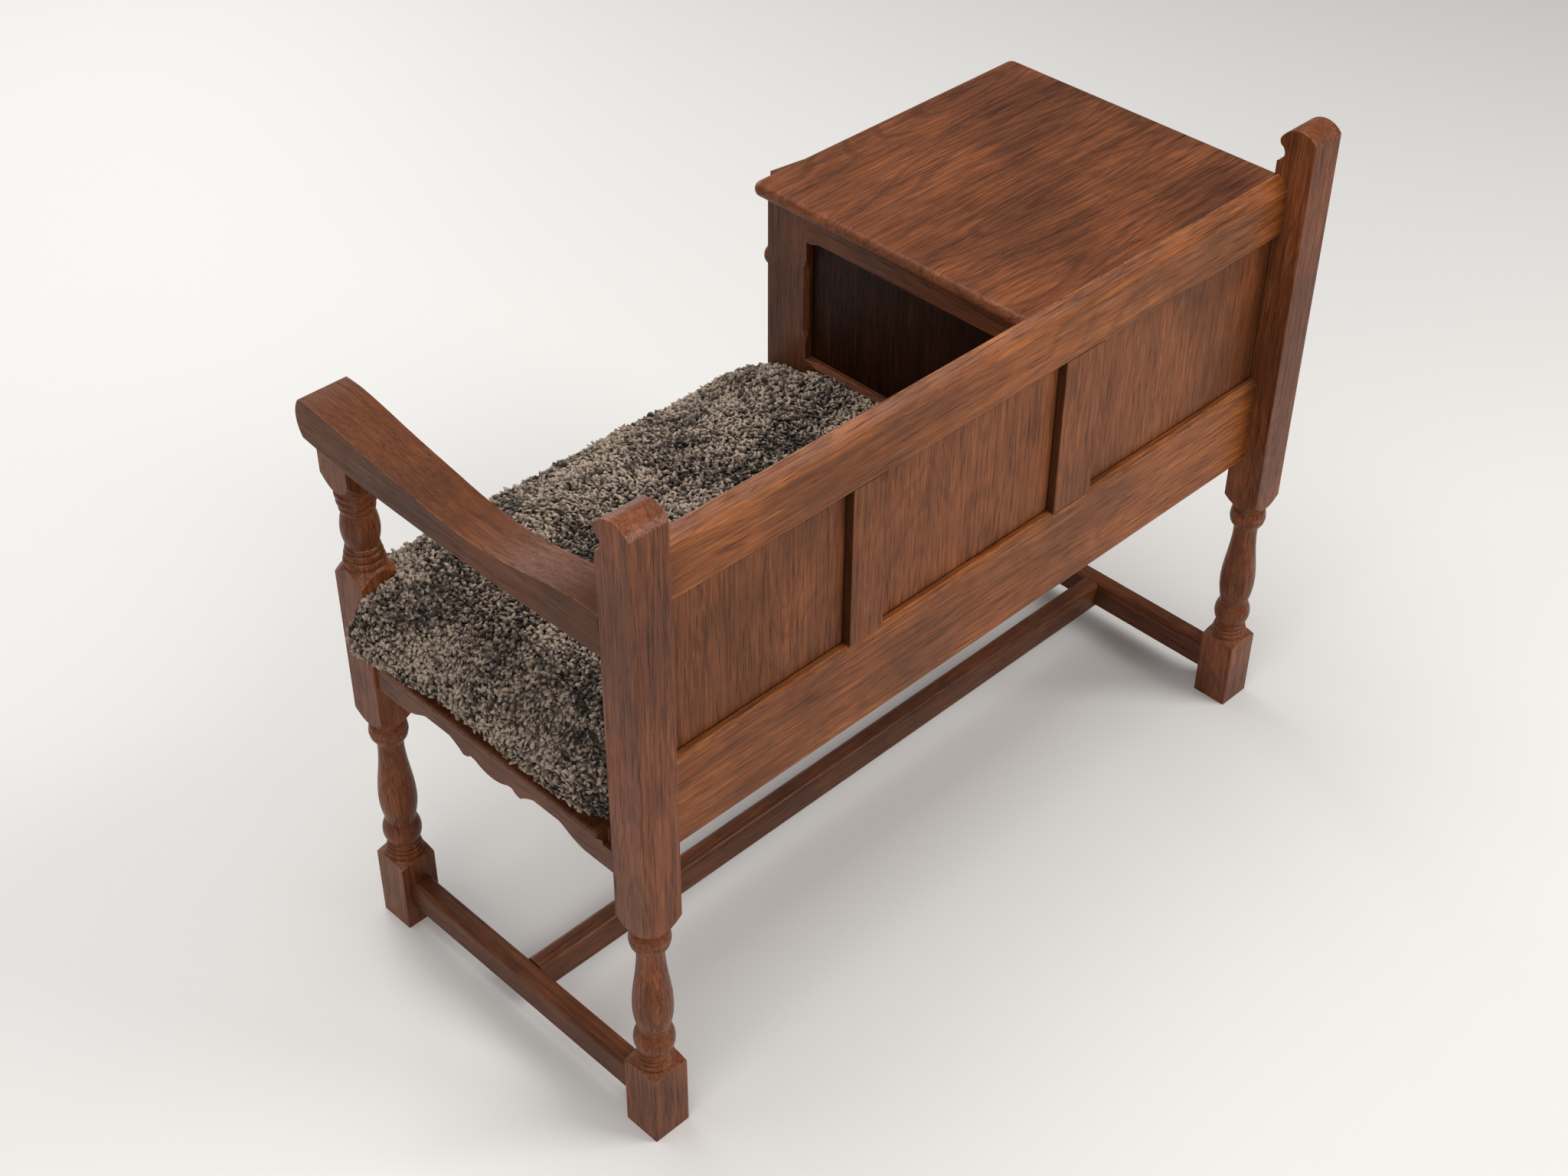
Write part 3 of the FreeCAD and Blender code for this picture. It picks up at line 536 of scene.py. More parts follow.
def oak_group() -> bpy.types.NodeTree:
    """Build the shared effect of stained oak: streaks, figure, pores, clouds, rubbed edges with a
    painted highlight, and painted shade with grime.

    Returns:
        The node group.
    """
    group, tree = new_effect("StainedOak", (
        ("Vector", VECTOR, None), ("Place", VECTOR, None), ("Edge", FLOAT, 0.0),
        ("Dark", COLOUR, BLACK), ("Mid", COLOUR, BLACK), ("Light", COLOUR, BLACK),
        ("WornAndHighlight", COLOUR, BLACK), ("Gloss", FLOAT, 0.4), ("WearAndHighlight", FLOAT, 0.5),
        ("Streak", FLOAT, 1.0), ("GrimeAndShade", FLOAT, 0.0)))
    take = tree.source.outputs
    vector = take["Vector"]
    place = take["Place"]
    bands = tree.grain(vector, BANDS)
    streaks = tree.grain(vector, STREAKS)
    fibres = tree.grain(vector, FIBRES)
    pores = tree.grain(vector, PORES)
    figure = tree.math("MULTIPLY", tree.grain(vector, FIGURE), RING_COUNT)
    rings = tree.math("SINE", tree.math("MULTIPLY_ADD", streaks, RING_WAVER, figure))

    tone = tree.math("ADD", tree.math("MULTIPLY", streaks, STREAK_SHARE),
                     tree.math("MULTIPLY", bands, BAND_SHARE))
    tone = tree.math("ADD", tone, tree.math("MULTIPLY", fibres, FIBRE_SHARE))
    tone = tree.math("MULTIPLY_ADD", rings, RING_SHARE, tone)
    tone = tree.math("MULTIPLY_ADD", tree.math("SUBTRACT", tone, MIDDLE_TONE), take["Streak"],
                     MIDDLE_TONE)
    colour = tree.mix(tree.ramp(tone, low=0.385, high=MIDDLE_TONE), take["Dark"], take["Mid"])
    colour = tree.mix(tree.ramp(tone, low=MIDDLE_TONE, high=0.61), colour, take["Light"])
    line = tree.math("MULTIPLY", tree.ramp(rings, low=0.55, high=1.0),
                     tree.ramp(fibres, low=0.32, high=0.50))
    line = tree.math("MULTIPLY", line, take["Streak"])
    colour = tree.mix(tree.math("MULTIPLY", line, RING_DEPTH), colour, take["Dark"])
    cloud = tree.ramp(tree.noise(place, scale=8.0, detail=4.0, roughness=0.6), low=0.32, high=0.66)
    cloud = tree.math("MULTIPLY_ADD", cloud, CLOUD_RANGE, CLOUD_LOW)
    shade = tree.add("ShaderNodeCombineColor",
                     inputs={"Red": cloud, "Green": cloud, "Blue": cloud}).outputs[0]
    colour = tree.mix(1.0, colour, shade, "MULTIPLY")
    pore = tree.math("MULTIPLY", tree.ramp(pores, low=0.54, high=0.64),
                     tree.ramp(streaks, low=0.62, high=0.42))
    colour = tree.mix(tree.math("MULTIPLY", pore, PORE_DEPTH), colour, take["Dark"])

    patchy = tree.ramp(tree.noise(place, scale=46.0, detail=5.0, roughness=0.7),
                       low=0.38, high=0.58)
    # The arrises get the worn colour: partly real wear, partly a painted highlight.
    edge = tree.math("MULTIPLY", tree.ramp(take["Edge"], low=0.008, high=0.07), patchy)
    scuff = tree.ramp(tree.noise(place, scale=210.0, detail=4.0, roughness=0.7),
                      low=0.70, high=0.76)
    rubbed_and_highlit = tree.math("MAXIMUM", edge, tree.math("MULTIPLY", scuff, SCUFF_SHARE))
    rubbed_and_highlit = tree.math("MULTIPLY", rubbed_and_highlit, take["WearAndHighlight"])
    colour = tree.mix(rubbed_and_highlit, colour, take["WornAndHighlight"])
    # Painted shade and grime where a panel meets its frame or on an upright's sides.
    colour = tree.mix(tree.math("MULTIPLY", take["GrimeAndShade"], GRIME_AND_SHADE_DEPTH), colour, GRIME_AND_SHADE)

    haze = tree.noise(place, scale=26.0, detail=3.0, roughness=0.6)
    rough = tree.sway(haze, HAZE_SWING, take["Gloss"])
    rough = tree.math("MULTIPLY_ADD", rubbed_and_highlit, RUBBED_ROUGH, rough)
    rough = tree.math("MULTIPLY_ADD", pore, PORE_ROUGH, rough, clamp=True)
    height = tree.math("SUBTRACT", tree.math("MULTIPLY", fibres, FIBRE_HEIGHT),
                       tree.math("MULTIPLY", pore, PORE_HEIGHT))
    height = tree.math("MULTIPLY_ADD", streaks, STREAK_HEIGHT, height)
    tree.finish(colour, rough, height)
    return group


def metal_group() -> bpy.types.NodeTree:
    """Build the shared effect of aged metal: fine scratches and dull patches.

    Returns:
        The node group.
    """
    group, tree = new_effect("AgedMetal", (
        ("Vector", VECTOR, None), ("Bright", COLOUR, BLACK), ("Dull", COLOUR, BLACK),
        ("Gloss", FLOAT, 0.3)))
    take = tree.source.outputs
    patch = tree.ramp(tree.noise(take["Vector"], scale=160.0, detail=5.0, roughness=0.65),
                      low=0.38, high=0.66)
    lines = tree.grain(take["Vector"], SCRATCHES)
    rough = tree.math("MULTIPLY_ADD", patch, PATCH_ROUGH, take["Gloss"])
    rough = tree.math("MULTIPLY_ADD", lines, SCRATCH_ROUGH, rough)
    tree.finish(tree.mix(patch, take["Bright"], take["Dull"]), rough, lines)
    return group


def wool_group() -> bpy.types.NodeTree:
    """Build the shared effect of sheep's wool: roots darkened with painted shade, mottled staple
    and pale tips.

    Returns:
        The node group.
    """
    group, tree = new_effect("SheepWool", (
        ("Vector", VECTOR, None), ("Rise", FLOAT, 0.0), ("Tint", FLOAT, 0.5), ("Hem", FLOAT, 0.0),
        ("Dark", COLOUR, BLACK), ("Mid", COLOUR, BLACK), ("Tip", COLOUR, BLACK),
        ("Skin", COLOUR, BLACK)))
    take = tree.source.outputs
    large = tree.noise(take["Vector"], scale=15.0, detail=4.0, roughness=0.62)
    small = tree.noise(take["Vector"], scale=120.0, detail=3.0, roughness=0.65)
    fibre = tree.noise(take["Vector"], scale=1300.0, detail=2.0, roughness=0.6)
    tone = take["Rise"]
    for value, weight in ((large, PATCH_SWING), (take["Tint"], LOCK_SWING),
                          (small, TUFT_SWING), (fibre, FIBRE_SWING)):
        tone = tree.sway(value, weight, tone)
    # Low on a lock the colour runs to the root colour, a painted shade between the locks.
    colour = tree.mix(tree.ramp(tone, low=0.28, high=0.66), take["Dark"], take["Mid"])
    colour = tree.mix(tree.ramp(tone, low=0.56, high=1.22), colour, take["Tip"])
    colour = tree.mix(tree.math("MULTIPLY", take["Hem"], HIDE_SHARE), colour, take["Skin"])
    rough = tree.math("MULTIPLY_ADD", fibre, 0.1, 0.85)
    tree.finish(colour, rough, tree.math("MULTIPLY_ADD", small, 0.6, fibre))
    return group


@dataclass(frozen=True)
class Recess:
    """The opening of a frame that shows its panel.

    Args:
        middle: the opening's middle.
        half: its half size, wide open across the panel.
    """

    middle: Vector
    half: Vector


class MaterialLibrary:
    """Makes the bench's materials from three shared effects."""

    def __init__(self) -> None:
        """Build the three effects."""
        self.oak = oak_group()
        self.metal = metal_group()
        self.wool = wool_group()

    def shell(self, name: str, group: bpy.types.NodeTree, relief: float
              ) -> tuple[bpy.types.Material, NodeTree, bpy.types.Node, bpy.types.Node]:
        """Make a material with one effect in it.

        Args:
            name: the material's name.
            group: the node group of the effect.
            relief: the height of the relief.

        Returns:
            The material, its helper, the effect's node and the surface shader.
        """
        material = bpy.data.materials.new(name)
        material.use_nodes = True
        material.node_tree.nodes.clear()
        tree = NodeTree(material.node_tree)
        effect = tree.add("ShaderNodeGroup", node_tree=group)
        surface = tree.add("ShaderNodeBsdfPrincipled")
        bump = tree.add("ShaderNodeBump", inputs={"Height": effect.outputs["Height"]})
        bump.inputs["Strength"].default_value = 1.0
        bump.inputs["Distance"].default_value = relief
        tree.feed(surface.inputs["Base Color"], effect.outputs["Color"])
        tree.feed(surface.inputs["Roughness"], effect.outputs["Roughness"])
        tree.feed(surface.inputs["Normal"], bump.outputs["Normal"])
        sink = tree.add("ShaderNodeOutputMaterial")
        tree.feed(sink.inputs["Surface"], surface.outputs["BSDF"])
        return material, tree, effect, surface

    def recess_grime_and_shade(self, tree: NodeTree, place: Socket, recess: Recess) -> Socket:
        """Paint shade and grime on a panel where it meets its frame.

        Args:
            tree: the material's helper.
            place: the object coordinates.
            recess: the opening that shows the panel.

        Returns:
            The output, 1 at the frame and 0 a few millimetres from it.
        """
        offset = tree.vector("SUBTRACT", place, tuple(recess.middle))
        inside = tree.vector("SUBTRACT", tuple(recess.half), tree.vector("ABSOLUTE", offset))
        parts = tree.add("ShaderNodeSeparateXYZ", inputs={"Vector": inside})
        near = tree.math("MINIMUM", parts.outputs["X"], parts.outputs["Y"])
        near = tree.math("MINIMUM", near, parts.outputs["Z"])
        away = tree.ramp(near, low=0.8 * MM, high=3.2 * MM)
        return tree.math("SUBTRACT", 1.0, away, clamp=True)

    def sides_grime_and_shade(self, tree: NodeTree, normal: Socket) -> Socket:
        """Paint shade and grime on the faces of an upright that look along the back.

        Args:
            tree: the material's helper.
            normal: the surface's own normal.

        Returns:
            The output, a set strength of painted shade and grime on those faces and 0 on the
            others.
        """
        across = tree.add("ShaderNodeSeparateXYZ", inputs={"Vector": normal}).outputs["Y"]
        facing = tree.ramp(tree.math("ABSOLUTE", across), low=0.3, high=0.8)
        return tree.math("MULTIPLY", tree.math("SUBTRACT", 1.0, facing), SIDE_GRIME_AND_SHADE)

    def wood(self, name: str, finish: WoodFinish, grain: Grain, recess: Optional[Recess] = None,
             upright: bool = False) -> bpy.types.Material:
        """Make oak for one piece, its grain one way and its arrises softened, rubbed and given a
        painted highlight.

        Args:
            name: the material's name, which also says where in the wood the piece is cut.
            finish: the finish.
            grain: the way the grain runs.
            recess: the opening that shows the piece, if it is a panel; painted shade and grime
                darken the panel at its edge.
            upright: whether it is an upright between two panels, whose sides get painted shade and
                grime.

        Returns:
            The material.
        """
        material, tree, effect, surface = self.shell(name, self.oak, OAK_RELIEF)
        place = tree.add("ShaderNodeTexCoord").outputs["Object"]
        turned = tree.add("ShaderNodeMapping", vector_type="POINT")
        tree.feed(turned.inputs["Vector"], place)
        turned.inputs["Rotation"].default_value = [math.radians(turn) for turn in grain.value]
        chance = random.Random(name)
        turned.inputs["Location"].default_value = [chance.uniform(-5, 5) for _ in range(3)]
        soft = tree.add("ShaderNodeBevel", samples=4)
        soft.inputs["Radius"].default_value = finish.arris
        normal = tree.add("ShaderNodeNewGeometry").outputs["Normal"]
        along = tree.add("ShaderNodeVectorMath", operation="DOT_PRODUCT")
        tree.feed(along.inputs[0], soft.outputs["Normal"])
        tree.feed(along.inputs[1], normal)
        edge = tree.math("SUBTRACT", 1.0, along.outputs["Value"], clamp=True)
        for socket, value in (
                ("Vector", turned.outputs["Vector"]), ("Place", place), ("Edge", edge),
                ("Dark", finish.dark), ("Mid", finish.mid), ("Light", finish.light),
                ("WornAndHighlight", finish.worn_and_highlight), ("Gloss", finish.gloss), ("WearAndHighlight", finish.wear_and_highlight),
                ("Streak", finish.streak)):
            tree.feed(effect.inputs[socket], value)
        # A panel gets painted shade and grime where it meets its frame.
        if recess is not None:
            tree.feed(effect.inputs["GrimeAndShade"], self.recess_grime_and_shade(tree, place, recess))
        # An upright's sides get painted shade and grime.
        elif upright:
            tree.feed(effect.inputs["GrimeAndShade"], self.sides_grime_and_shade(tree, normal))
        tree.feed(material.node_tree.nodes["Bump"].inputs["Normal"], soft.outputs["Normal"])
        surface.inputs["Specular IOR Level"].default_value = finish.sheen_level
        surface.inputs["Coat Weight"].default_value = finish.coat
        surface.inputs["Coat Roughness"].default_value = COAT_ROUGH
        return material

    def metal_piece(self, name: str, finish: MetalFinish) -> bpy.types.Material:
        """Make an aged metal.

        Args:
            name: the material's name.
            finish: the finish.

        Returns:
            The material.
        """
        material, tree, effect, surface = self.shell(name, self.metal, METAL_RELIEF)
        for socket, value in (
                ("Vector", tree.add("ShaderNodeTexCoord").outputs["Object"]),
                ("Bright", finish.bright), ("Dull", finish.dull), ("Gloss", finish.gloss)):
            tree.feed(effect.inputs[socket], value)
        surface.inputs["Metallic"].default_value = finish.metallic
        return material

    def fleece(self, name: str, finish: WoolFinish) -> bpy.types.Material:
        """Make wool, shaded by how high a point is on its lock.

        Args:
            name: the material's name.
            finish: the finish.

        Returns:
            The material.
        """
        material, tree, effect, surface = self.shell(name, self.wool, WOOL_RELIEF)
        staple = tree.add("ShaderNodeAttribute", attribute_name=STAPLE)
        parts = tree.add("ShaderNodeSeparateColor", inputs={"Color": staple.outputs["Color"]})
        for socket, value in (
                ("Vector", tree.add("ShaderNodeTexCoord").outputs["Object"]),
                ("Rise", parts.outputs["Red"]), ("Tint", parts.outputs["Green"]),
                ("Hem", parts.outputs["Blue"]), ("Dark", finish.root), ("Mid", finish.staple),
                ("Tip", finish.tip), ("Skin", finish.skin)):
            tree.feed(effect.inputs[socket], value)
        surface.inputs["Specular IOR Level"].default_value = finish.sheen_level
        surface.inputs["Sheen Weight"].default_value = finish.fuzz
        surface.inputs["Sheen Roughness"].default_value = finish.fuzz_rough
        return material


def opening(axis: str, left: str, right: str, below: str, above: str) -> Recess:
    """Say where a frame's opening lies.

    Args:
        axis: X or Y, the way from its left piece to its right one.
        left: the piece at the opening's low end.
        right: the piece at its high end.
        below: the piece under it.
        above: the piece over it.

    Returns:
        The opening.
    """
    index = "XY".index(axis)
    low = Vector((-1.0, -1.0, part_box(below)[1].z))
    high = Vector((1.0, 1.0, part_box(above)[0].z))
    low[index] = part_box(left)[1][index]
    high[index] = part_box(right)[0][index]
    return Recess((low + high) / 2, (high - low) / 2)


def assign(piece: bpy.types.Object, material: bpy.types.Material) -> None:
    """Put one material in all of an object's slots.

    Args:
        piece: the object.
        material: the material.
    """
    if not piece.material_slots:
        piece.data.materials.append(material)
    for slot in piece.material_slots:
        slot.material = material
    LOG.info("%s is given %s", piece.name, material.name)


def link(name: str, data: bpy.types.ID) -> bpy.types.Object:
    """Make an object and link it to the scene.

    Args:
        name: the object's name.
        data: its mesh, light or camera.

    Returns:
        The object.
    """
    piece = bpy.data.objects.new(name, data)
    bpy.context.scene.collection.objects.link(piece)
    return piece


BACK_RAILS = ("back_bottom_rail", "back_top_rail")


@dataclass
class Joinery:
    """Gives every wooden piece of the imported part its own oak.

    Args:
        library: the materials.
        nodes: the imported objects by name.
        stained_x: stained pieces whose grain runs along X.
        stained_y: stained pieces whose grain runs along Y.
        stained_z: stained pieces whose grain runs along Z.
        turned: the legs and posts.
        rails: the back's rails.
        muntins: the back's uprights.
        panels: the panels but for the cupboard's inner one.
        plain: unfinished pieces that don't show.
        frames: for each panel the way along it, and the pieces left, right, under and over it.
    """

    library: MaterialLibrary
    nodes: dict[str, bpy.types.Object]
    stained_x: tuple[str, ...] = (
        "centre_stretcher", "front_apron", "seat_board", "door_top_rail", "door_bottom_rail")
    stained_y: tuple[str, ...] = (
        "side_stretcher_arm_side", "side_stretcher_cupboard_side", "side_apron_arm_side",
        "side_apron_cupboard_side", "inner_side_top_rail", "inner_side_bottom_rail",
        "outer_side_top_rail", "outer_side_bottom_rail")
    stained_z: tuple[str, ...] = (
        "inner_side_front_stile", "inner_side_rear_stile", "outer_side_front_stile",
        "outer_side_rear_stile", "face_stile_knob_side", "face_stile_hinge_side",
        "door_hinge_stile", "door_knob_stile")
    turned: tuple[str, ...] = (
        "front_leg_arm_side", "front_leg_cupboard_side", "back_post_arm_side",
        "back_post_cupboard_side")
    rails: tuple[str, ...] = BACK_RAILS
    muntins: tuple[str, ...] = ("back_muntin_arm_side", "back_muntin_cupboard_side")
    panels: tuple[str, ...] = (
        "back_panel_arm_side", "back_panel_middle", "back_panel_cupboard_side",
        "outer_side_panel", "door_panel")
    plain: tuple[str, ...] = ("rear_seat_batten", "door_stop_rail")
    frames: dict[str, tuple[str, ...]] = field(default_factory=lambda: {
        "back_panel_arm_side": (
            "X", "back_muntin_arm_side", "back_post_arm_side", *BACK_RAILS),
        "back_panel_middle": (
            "X", "back_muntin_cupboard_side", "back_muntin_arm_side", *BACK_RAILS),
        "back_panel_cupboard_side": (
            "X", "back_post_cupboard_side", "back_muntin_cupboard_side", *BACK_RAILS),
        "door_panel": (
            "X", "door_hinge_stile", "door_knob_stile", "door_bottom_rail", "door_top_rail"),
        **{"%s_side_panel" % side: (
            "Y", "%s_side_front_stile" % side, "%s_side_rear_stile" % side,
            "%s_side_bottom_rail" % side, "%s_side_top_rail" % side)
           for side in ("inner", "outer")},
    })

    def dress(self, name: str, finish: WoodFinish, grain: Grain) -> None:
        """Give one piece its own oak.

        Args:
            name: the piece's name.
            finish: its finish.
            grain: the way its grain runs.
        """
        frame = self.frames.get(name)
        recess = opening(*frame) if frame else None
        oak = self.library.wood("oak_" + name, finish, grain, recess, name in self.muntins)
        assign(self.nodes[name], oak)

    def build(self) -> None:
        """Dress every wooden piece."""
        for names, finish, grain in (
                (self.stained_x, STAINED, Grain.ALONG_X),
                (self.stained_y, STAINED, Grain.ALONG_Y),
                (self.stained_z, STAINED, Grain.ALONG_Z),
                (self.turned, TURNED, Grain.ALONG_Z),
                (self.rails, RAIL, Grain.ALONG_X),
                (self.muntins, PANEL, Grain.ALONG_Z),
                (self.panels, PANEL, Grain.ALONG_Z),
                (("inner_side_panel",), SHADED, Grain.ALONG_Z),
                (("table_top",), POLISHED, Grain.ALONG_X),
                (("armrest",), HANDLED, Grain.ALONG_Y),
                (("door_knob",), POLISHED, Grain.ALONG_Y),
                (self.plain, PLAIN, Grain.ALONG_X)):
            for name in names:
                self.dress(name, finish, grain)


@dataclass
class Hardware:
    """Gives the hinges, screws and catch their metals.

    Args:
        library: the materials.
        nodes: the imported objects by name.
        brass: the brass pieces.
        steel: the steel pieces.
        block: the catch's block.
    """

    library: MaterialLibrary
    nodes: dict[str, bpy.types.Object]
    brass: tuple[str, ...] = (
        "hinge_case_leaves", "hinge_door_leaves", "hinge_pins", "hinge_case_screws",
        "hinge_door_screws")
    steel: tuple[str, ...] = ("knob_screw", "catch_plate")
    block: tuple[str, ...] = ("catch_magnet",)

    def build(self) -> None:
        """Dress every metal piece."""
        for names, label, finish in (
                (self.brass, "aged_brass", BRASS),
                (self.steel, "plain_steel", STEEL),
                (self.block, "catch_block", BLOCK)):
            material = self.library.metal_piece(label, finish)
            for name in names:
                assign(self.nodes[name], material)


@dataclass(frozen=True)
class Lamp:
    """One soft area light.

    Args:
        name: its name.
        place: where it stands.
        aim: the point it shines at.
        size: its width and height.
        power: its power in watts.
        colour: its colour.
    """

    name: str
    place: Triple
    aim: Triple
    size: tuple[float, float]
    power: float
    colour: Triple

    def build(self) -> None:
        """Add the light to the scene."""
        data = bpy.data.lights.new(self.name, "AREA")
        data.shape = "RECTANGLE"
        data.size, data.size_y = self.size
        data.energy = self.power
        data.color = self.colour
        lamp = link(self.name, data)
        place = Vector(self.place)
        look = (Vector(self.aim) - place).to_track_quat("-Z", "Y")
        lamp.matrix_world = Matrix.Translation(place) @ look.to_matrix().to_4x4()


LAMPS = (
    Lamp("window", (-1.6, 2.4, 2.8), (0, 0, 0.4), (1.8, 1.6), 85.0, (1.0, 0.98, 0.95)),
    Lamp("fill", (2.8, 1.2, 2.2), (0, 0, 0.4), (2.2, 1.8), 38.0, (1.0, 0.97, 0.94)),
    Lamp("top", (0.3, -0.4, 3.2), (0, 0, 0), (2.2, 2.2), 62.0, (1.0, 0.99, 0.97)),
    Lamp("front", (-0.5, -3.0, 1.6), (0, 0, 0.4), (2.2, 1.6), 34.0, (1.0, 0.99, 0.98)),
)


@dataclass
class Studio:
    """The floor, the lights and the camera.

    Args:
        place: the camera's place, from the middle of the feet.
        aim: the point in the middle of the picture, from the middle of the feet.
        roll_deg: the camera's turn about its own line of sight.
        focal: the focal length in pixels of the photograph.
        lamps: the lights.
        floor_colour: the floor's colour.
        floor_half: half the floor's width.
        sky_colour: the colour of the light from all round.
        sky_strength: its strength.
    """

    place: Triple = (1.40019, 1.31174, 1.85988)
    aim: Triple = (0.04259, -0.04839, 0.300)
    roll_deg: float = 0.387
    focal: float = 2996.8
    lamps: tuple[Lamp, ...] = LAMPS
    floor_colour: Triple = (0.72, 0.71, 0.69)
    floor_half: float = 6.0
    sky_colour: Triple = (0.86, 0.87, 0.90)
    sky_strength: float = 0.26

    def camera(self) -> None:
        """Make the camera at the photograph's view."""
        feet_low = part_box("front_leg_cupboard_side")[0]
        feet_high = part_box("back_post_arm_side")[1]
        middle = Vector(((feet_low.x + feet_high.x) / 2, (feet_low.y + feet_high.y) / 2, 0.0))
        place = Vector(self.place) + middle
        aim = Vector(self.aim) + middle
        data = bpy.data.cameras.new("photo_camera")
        data.sensor_width = SENSOR
        data.lens = self.focal / PHOTO_WIDTH * data.sensor_width
        camera = link("photo_camera", data)
        look = (aim - place).to_track_quat("-Z", "Y")
        roll = Matrix.Rotation(math.radians(self.roll_deg), 4, "Z")
        camera.matrix_world = Matrix.Translation(place) @ look.to_matrix().to_4x4() @ roll
        bpy.context.scene.camera = camera

    def backdrop(self) -> None:
        """Make the pale floor."""
        mesh = bpy.data.meshes.new("floor")
        builder = bmesh.new()
        bmesh.ops.create_grid(builder, x_segments=1, y_segments=1, size=self.floor_half)
        builder.to_mesh(mesh)
        builder.free()
        floor = link("floor", mesh)
        material = bpy.data.materials.new("pale_floor")
        material.use_nodes = True
        surface = material.node_tree.nodes["Principled BSDF"]
        surface.inputs["Base Color"].default_value = (*self.floor_colour, 1.0)
        surface.inputs["Roughness"].default_value = 0.55
        mesh.materials.append(material)

    def sky(self) -> None:
        """Make the light from all round, and set how colours are shown."""
        world = bpy.data.worlds.new("studio")
        bpy.context.scene.world = world
        world.use_nodes = True
        background = world.node_tree.nodes["Background"]
        background.inputs["Color"].default_value = (*self.sky_colour, 1.0)
        background.inputs["Strength"].default_value = self.sky_strength
        bpy.context.scene.view_settings.view_transform = "Standard"

    def build(self) -> None:
        """Build the whole studio."""
        self.camera()
        self.backdrop()
        for lamp in self.lamps:
            lamp.build()
        self.sky()


def ease(share: float) -> float:
    """Ease a share smoothly from 0 to 1, and hold it outside them.

    Args:
        share: the share.

    Returns:
        The eased share.
    """
    share = held(share)
    return share * share * (3.0 - 2.0 * share)


def held(share: float) -> float:
    """Hold a share within 0 and 1.

    Args:
        share: the share.

    Returns:
        The held share.
    """
    return min(1.0, max(0.0, share))


def modify(piece: bpy.types.Object, kind: str, **settings: Any) -> None:
    """Give a piece a modifier and apply it to its mesh.

    Args:
        piece: the object.
        kind: the modifier's type name.
        settings: its attributes by name.
    """
    modifier = piece.modifiers.new(kind.lower(), kind)
    for name, value in settings.items():
        setattr(modifier, name, value)
    graph = bpy.context.evaluated_depsgraph_get()
    graph.update()
    mesh = bpy.data.meshes.new_from_object(piece.evaluated_get(graph))
    piece.modifiers.clear()
    piece.data = mesh


@dataclass(frozen=True)
class Hem:
    """How the fleece's hem is drawn in from the seat board's edges.

    Args:
        high: how far up the hem is tucked under.
        rear: how far behind the front edge the pull at the arm's end starts, and its run.
        end: how far inside the arm's end the pull starts, and its run.
        front: how far inside the front edge the pull there starts, and its run.
        end_pull: the pull at the arm's end, at its rear.
        corner_push: how far the fleece reaches out at the front corner.
        end_tuck: how much further the hem is tucked in at the arm's end.
        front_pull: the pull at the front edge.
        front_tuck: how much further the hem is tucked in there.
    """

    high: float = 26.0 * MM
    rear: tuple[float, float] = (70.0 * MM, 90.0 * MM)
    end: tuple[float, float] = (55.0 * MM, 60.0 * MM)
    front: tuple[float, float] = (45.0 * MM, 50.0 * MM)
    end_pull: float = 11.0 * MM
    corner_push: float = 1.0 * MM
    end_tuck: float = 9.0 * MM
    front_pull: float = 3.0 * MM
    front_tuck: float = 8.0 * MM

    def tuck(self, vertex: bmesh.types.BMVert, low: float, edge: float, front: float) -> None:
        """Draw one vertex in, most at the rear of the arm's end.

        Args:
            vertex: the vertex.
            low: height of the seat.
            edge: the seat board's arm end.
            front: the seat board's front edge.
        """
        under = 1.0 - ease((vertex.co.z - low) / self.high)
        rear = ease((vertex.co.y - front - self.rear[0]) / self.rear[1])
        near_end = ease((vertex.co.x - edge + self.end[0]) / self.end[1])
        near_front = ease((front + self.front[0] - vertex.co.y) / self.front[1])
        pull = self.end_pull * rear - self.corner_push
        vertex.co.x -= near_end * (pull + under * self.end_tuck)
        vertex.co.y += near_front * (self.front_pull + under * self.front_tuck)


@dataclass(frozen=True)
class Growth:
    """How the locks stand on the ground.

    Args:
        sink: how deep a lock's foot stands in the ground.
        bare: height of the strip above the seat that bears none.
        steepest: lowest upward share of the ground's normal that bears one.
        drift: how far the locks lean with their neighbours.
        drift_scale: scale of the noise that they lean with.
        hem_band: height of the strip whose locks lean upward.
        hem_rise: how far they do.
        hem_reach: height of the strip whose locks are smaller.
        hem_shrink: share that the lowest are smaller by.
        sizes: smallest and largest size of a lock.
        stretches: least and most stretch along a lock.
    """

    sink: float = 1.0 * MM
    bare: float = 4.0 * MM
    steepest: float = -0.60
    drift: float = 1.3
    drift_scale: float = 14.0
    hem_band: float = 12.0 * MM
    hem_rise: float = 0.45
    hem_reach: float = 16.0 * MM
    hem_shrink: float = 0.40
    sizes: tuple[float, float] = (0.72, 1.18)
    stretches: tuple[float, float] = (0.8, 1.2)


@dataclass(frozen=True)
class Root:
    """Where one lock stands.

    Args:
        place: its place on the ground.
        normal: the ground's normal there.
    """

    place: Vector
    normal: Vector


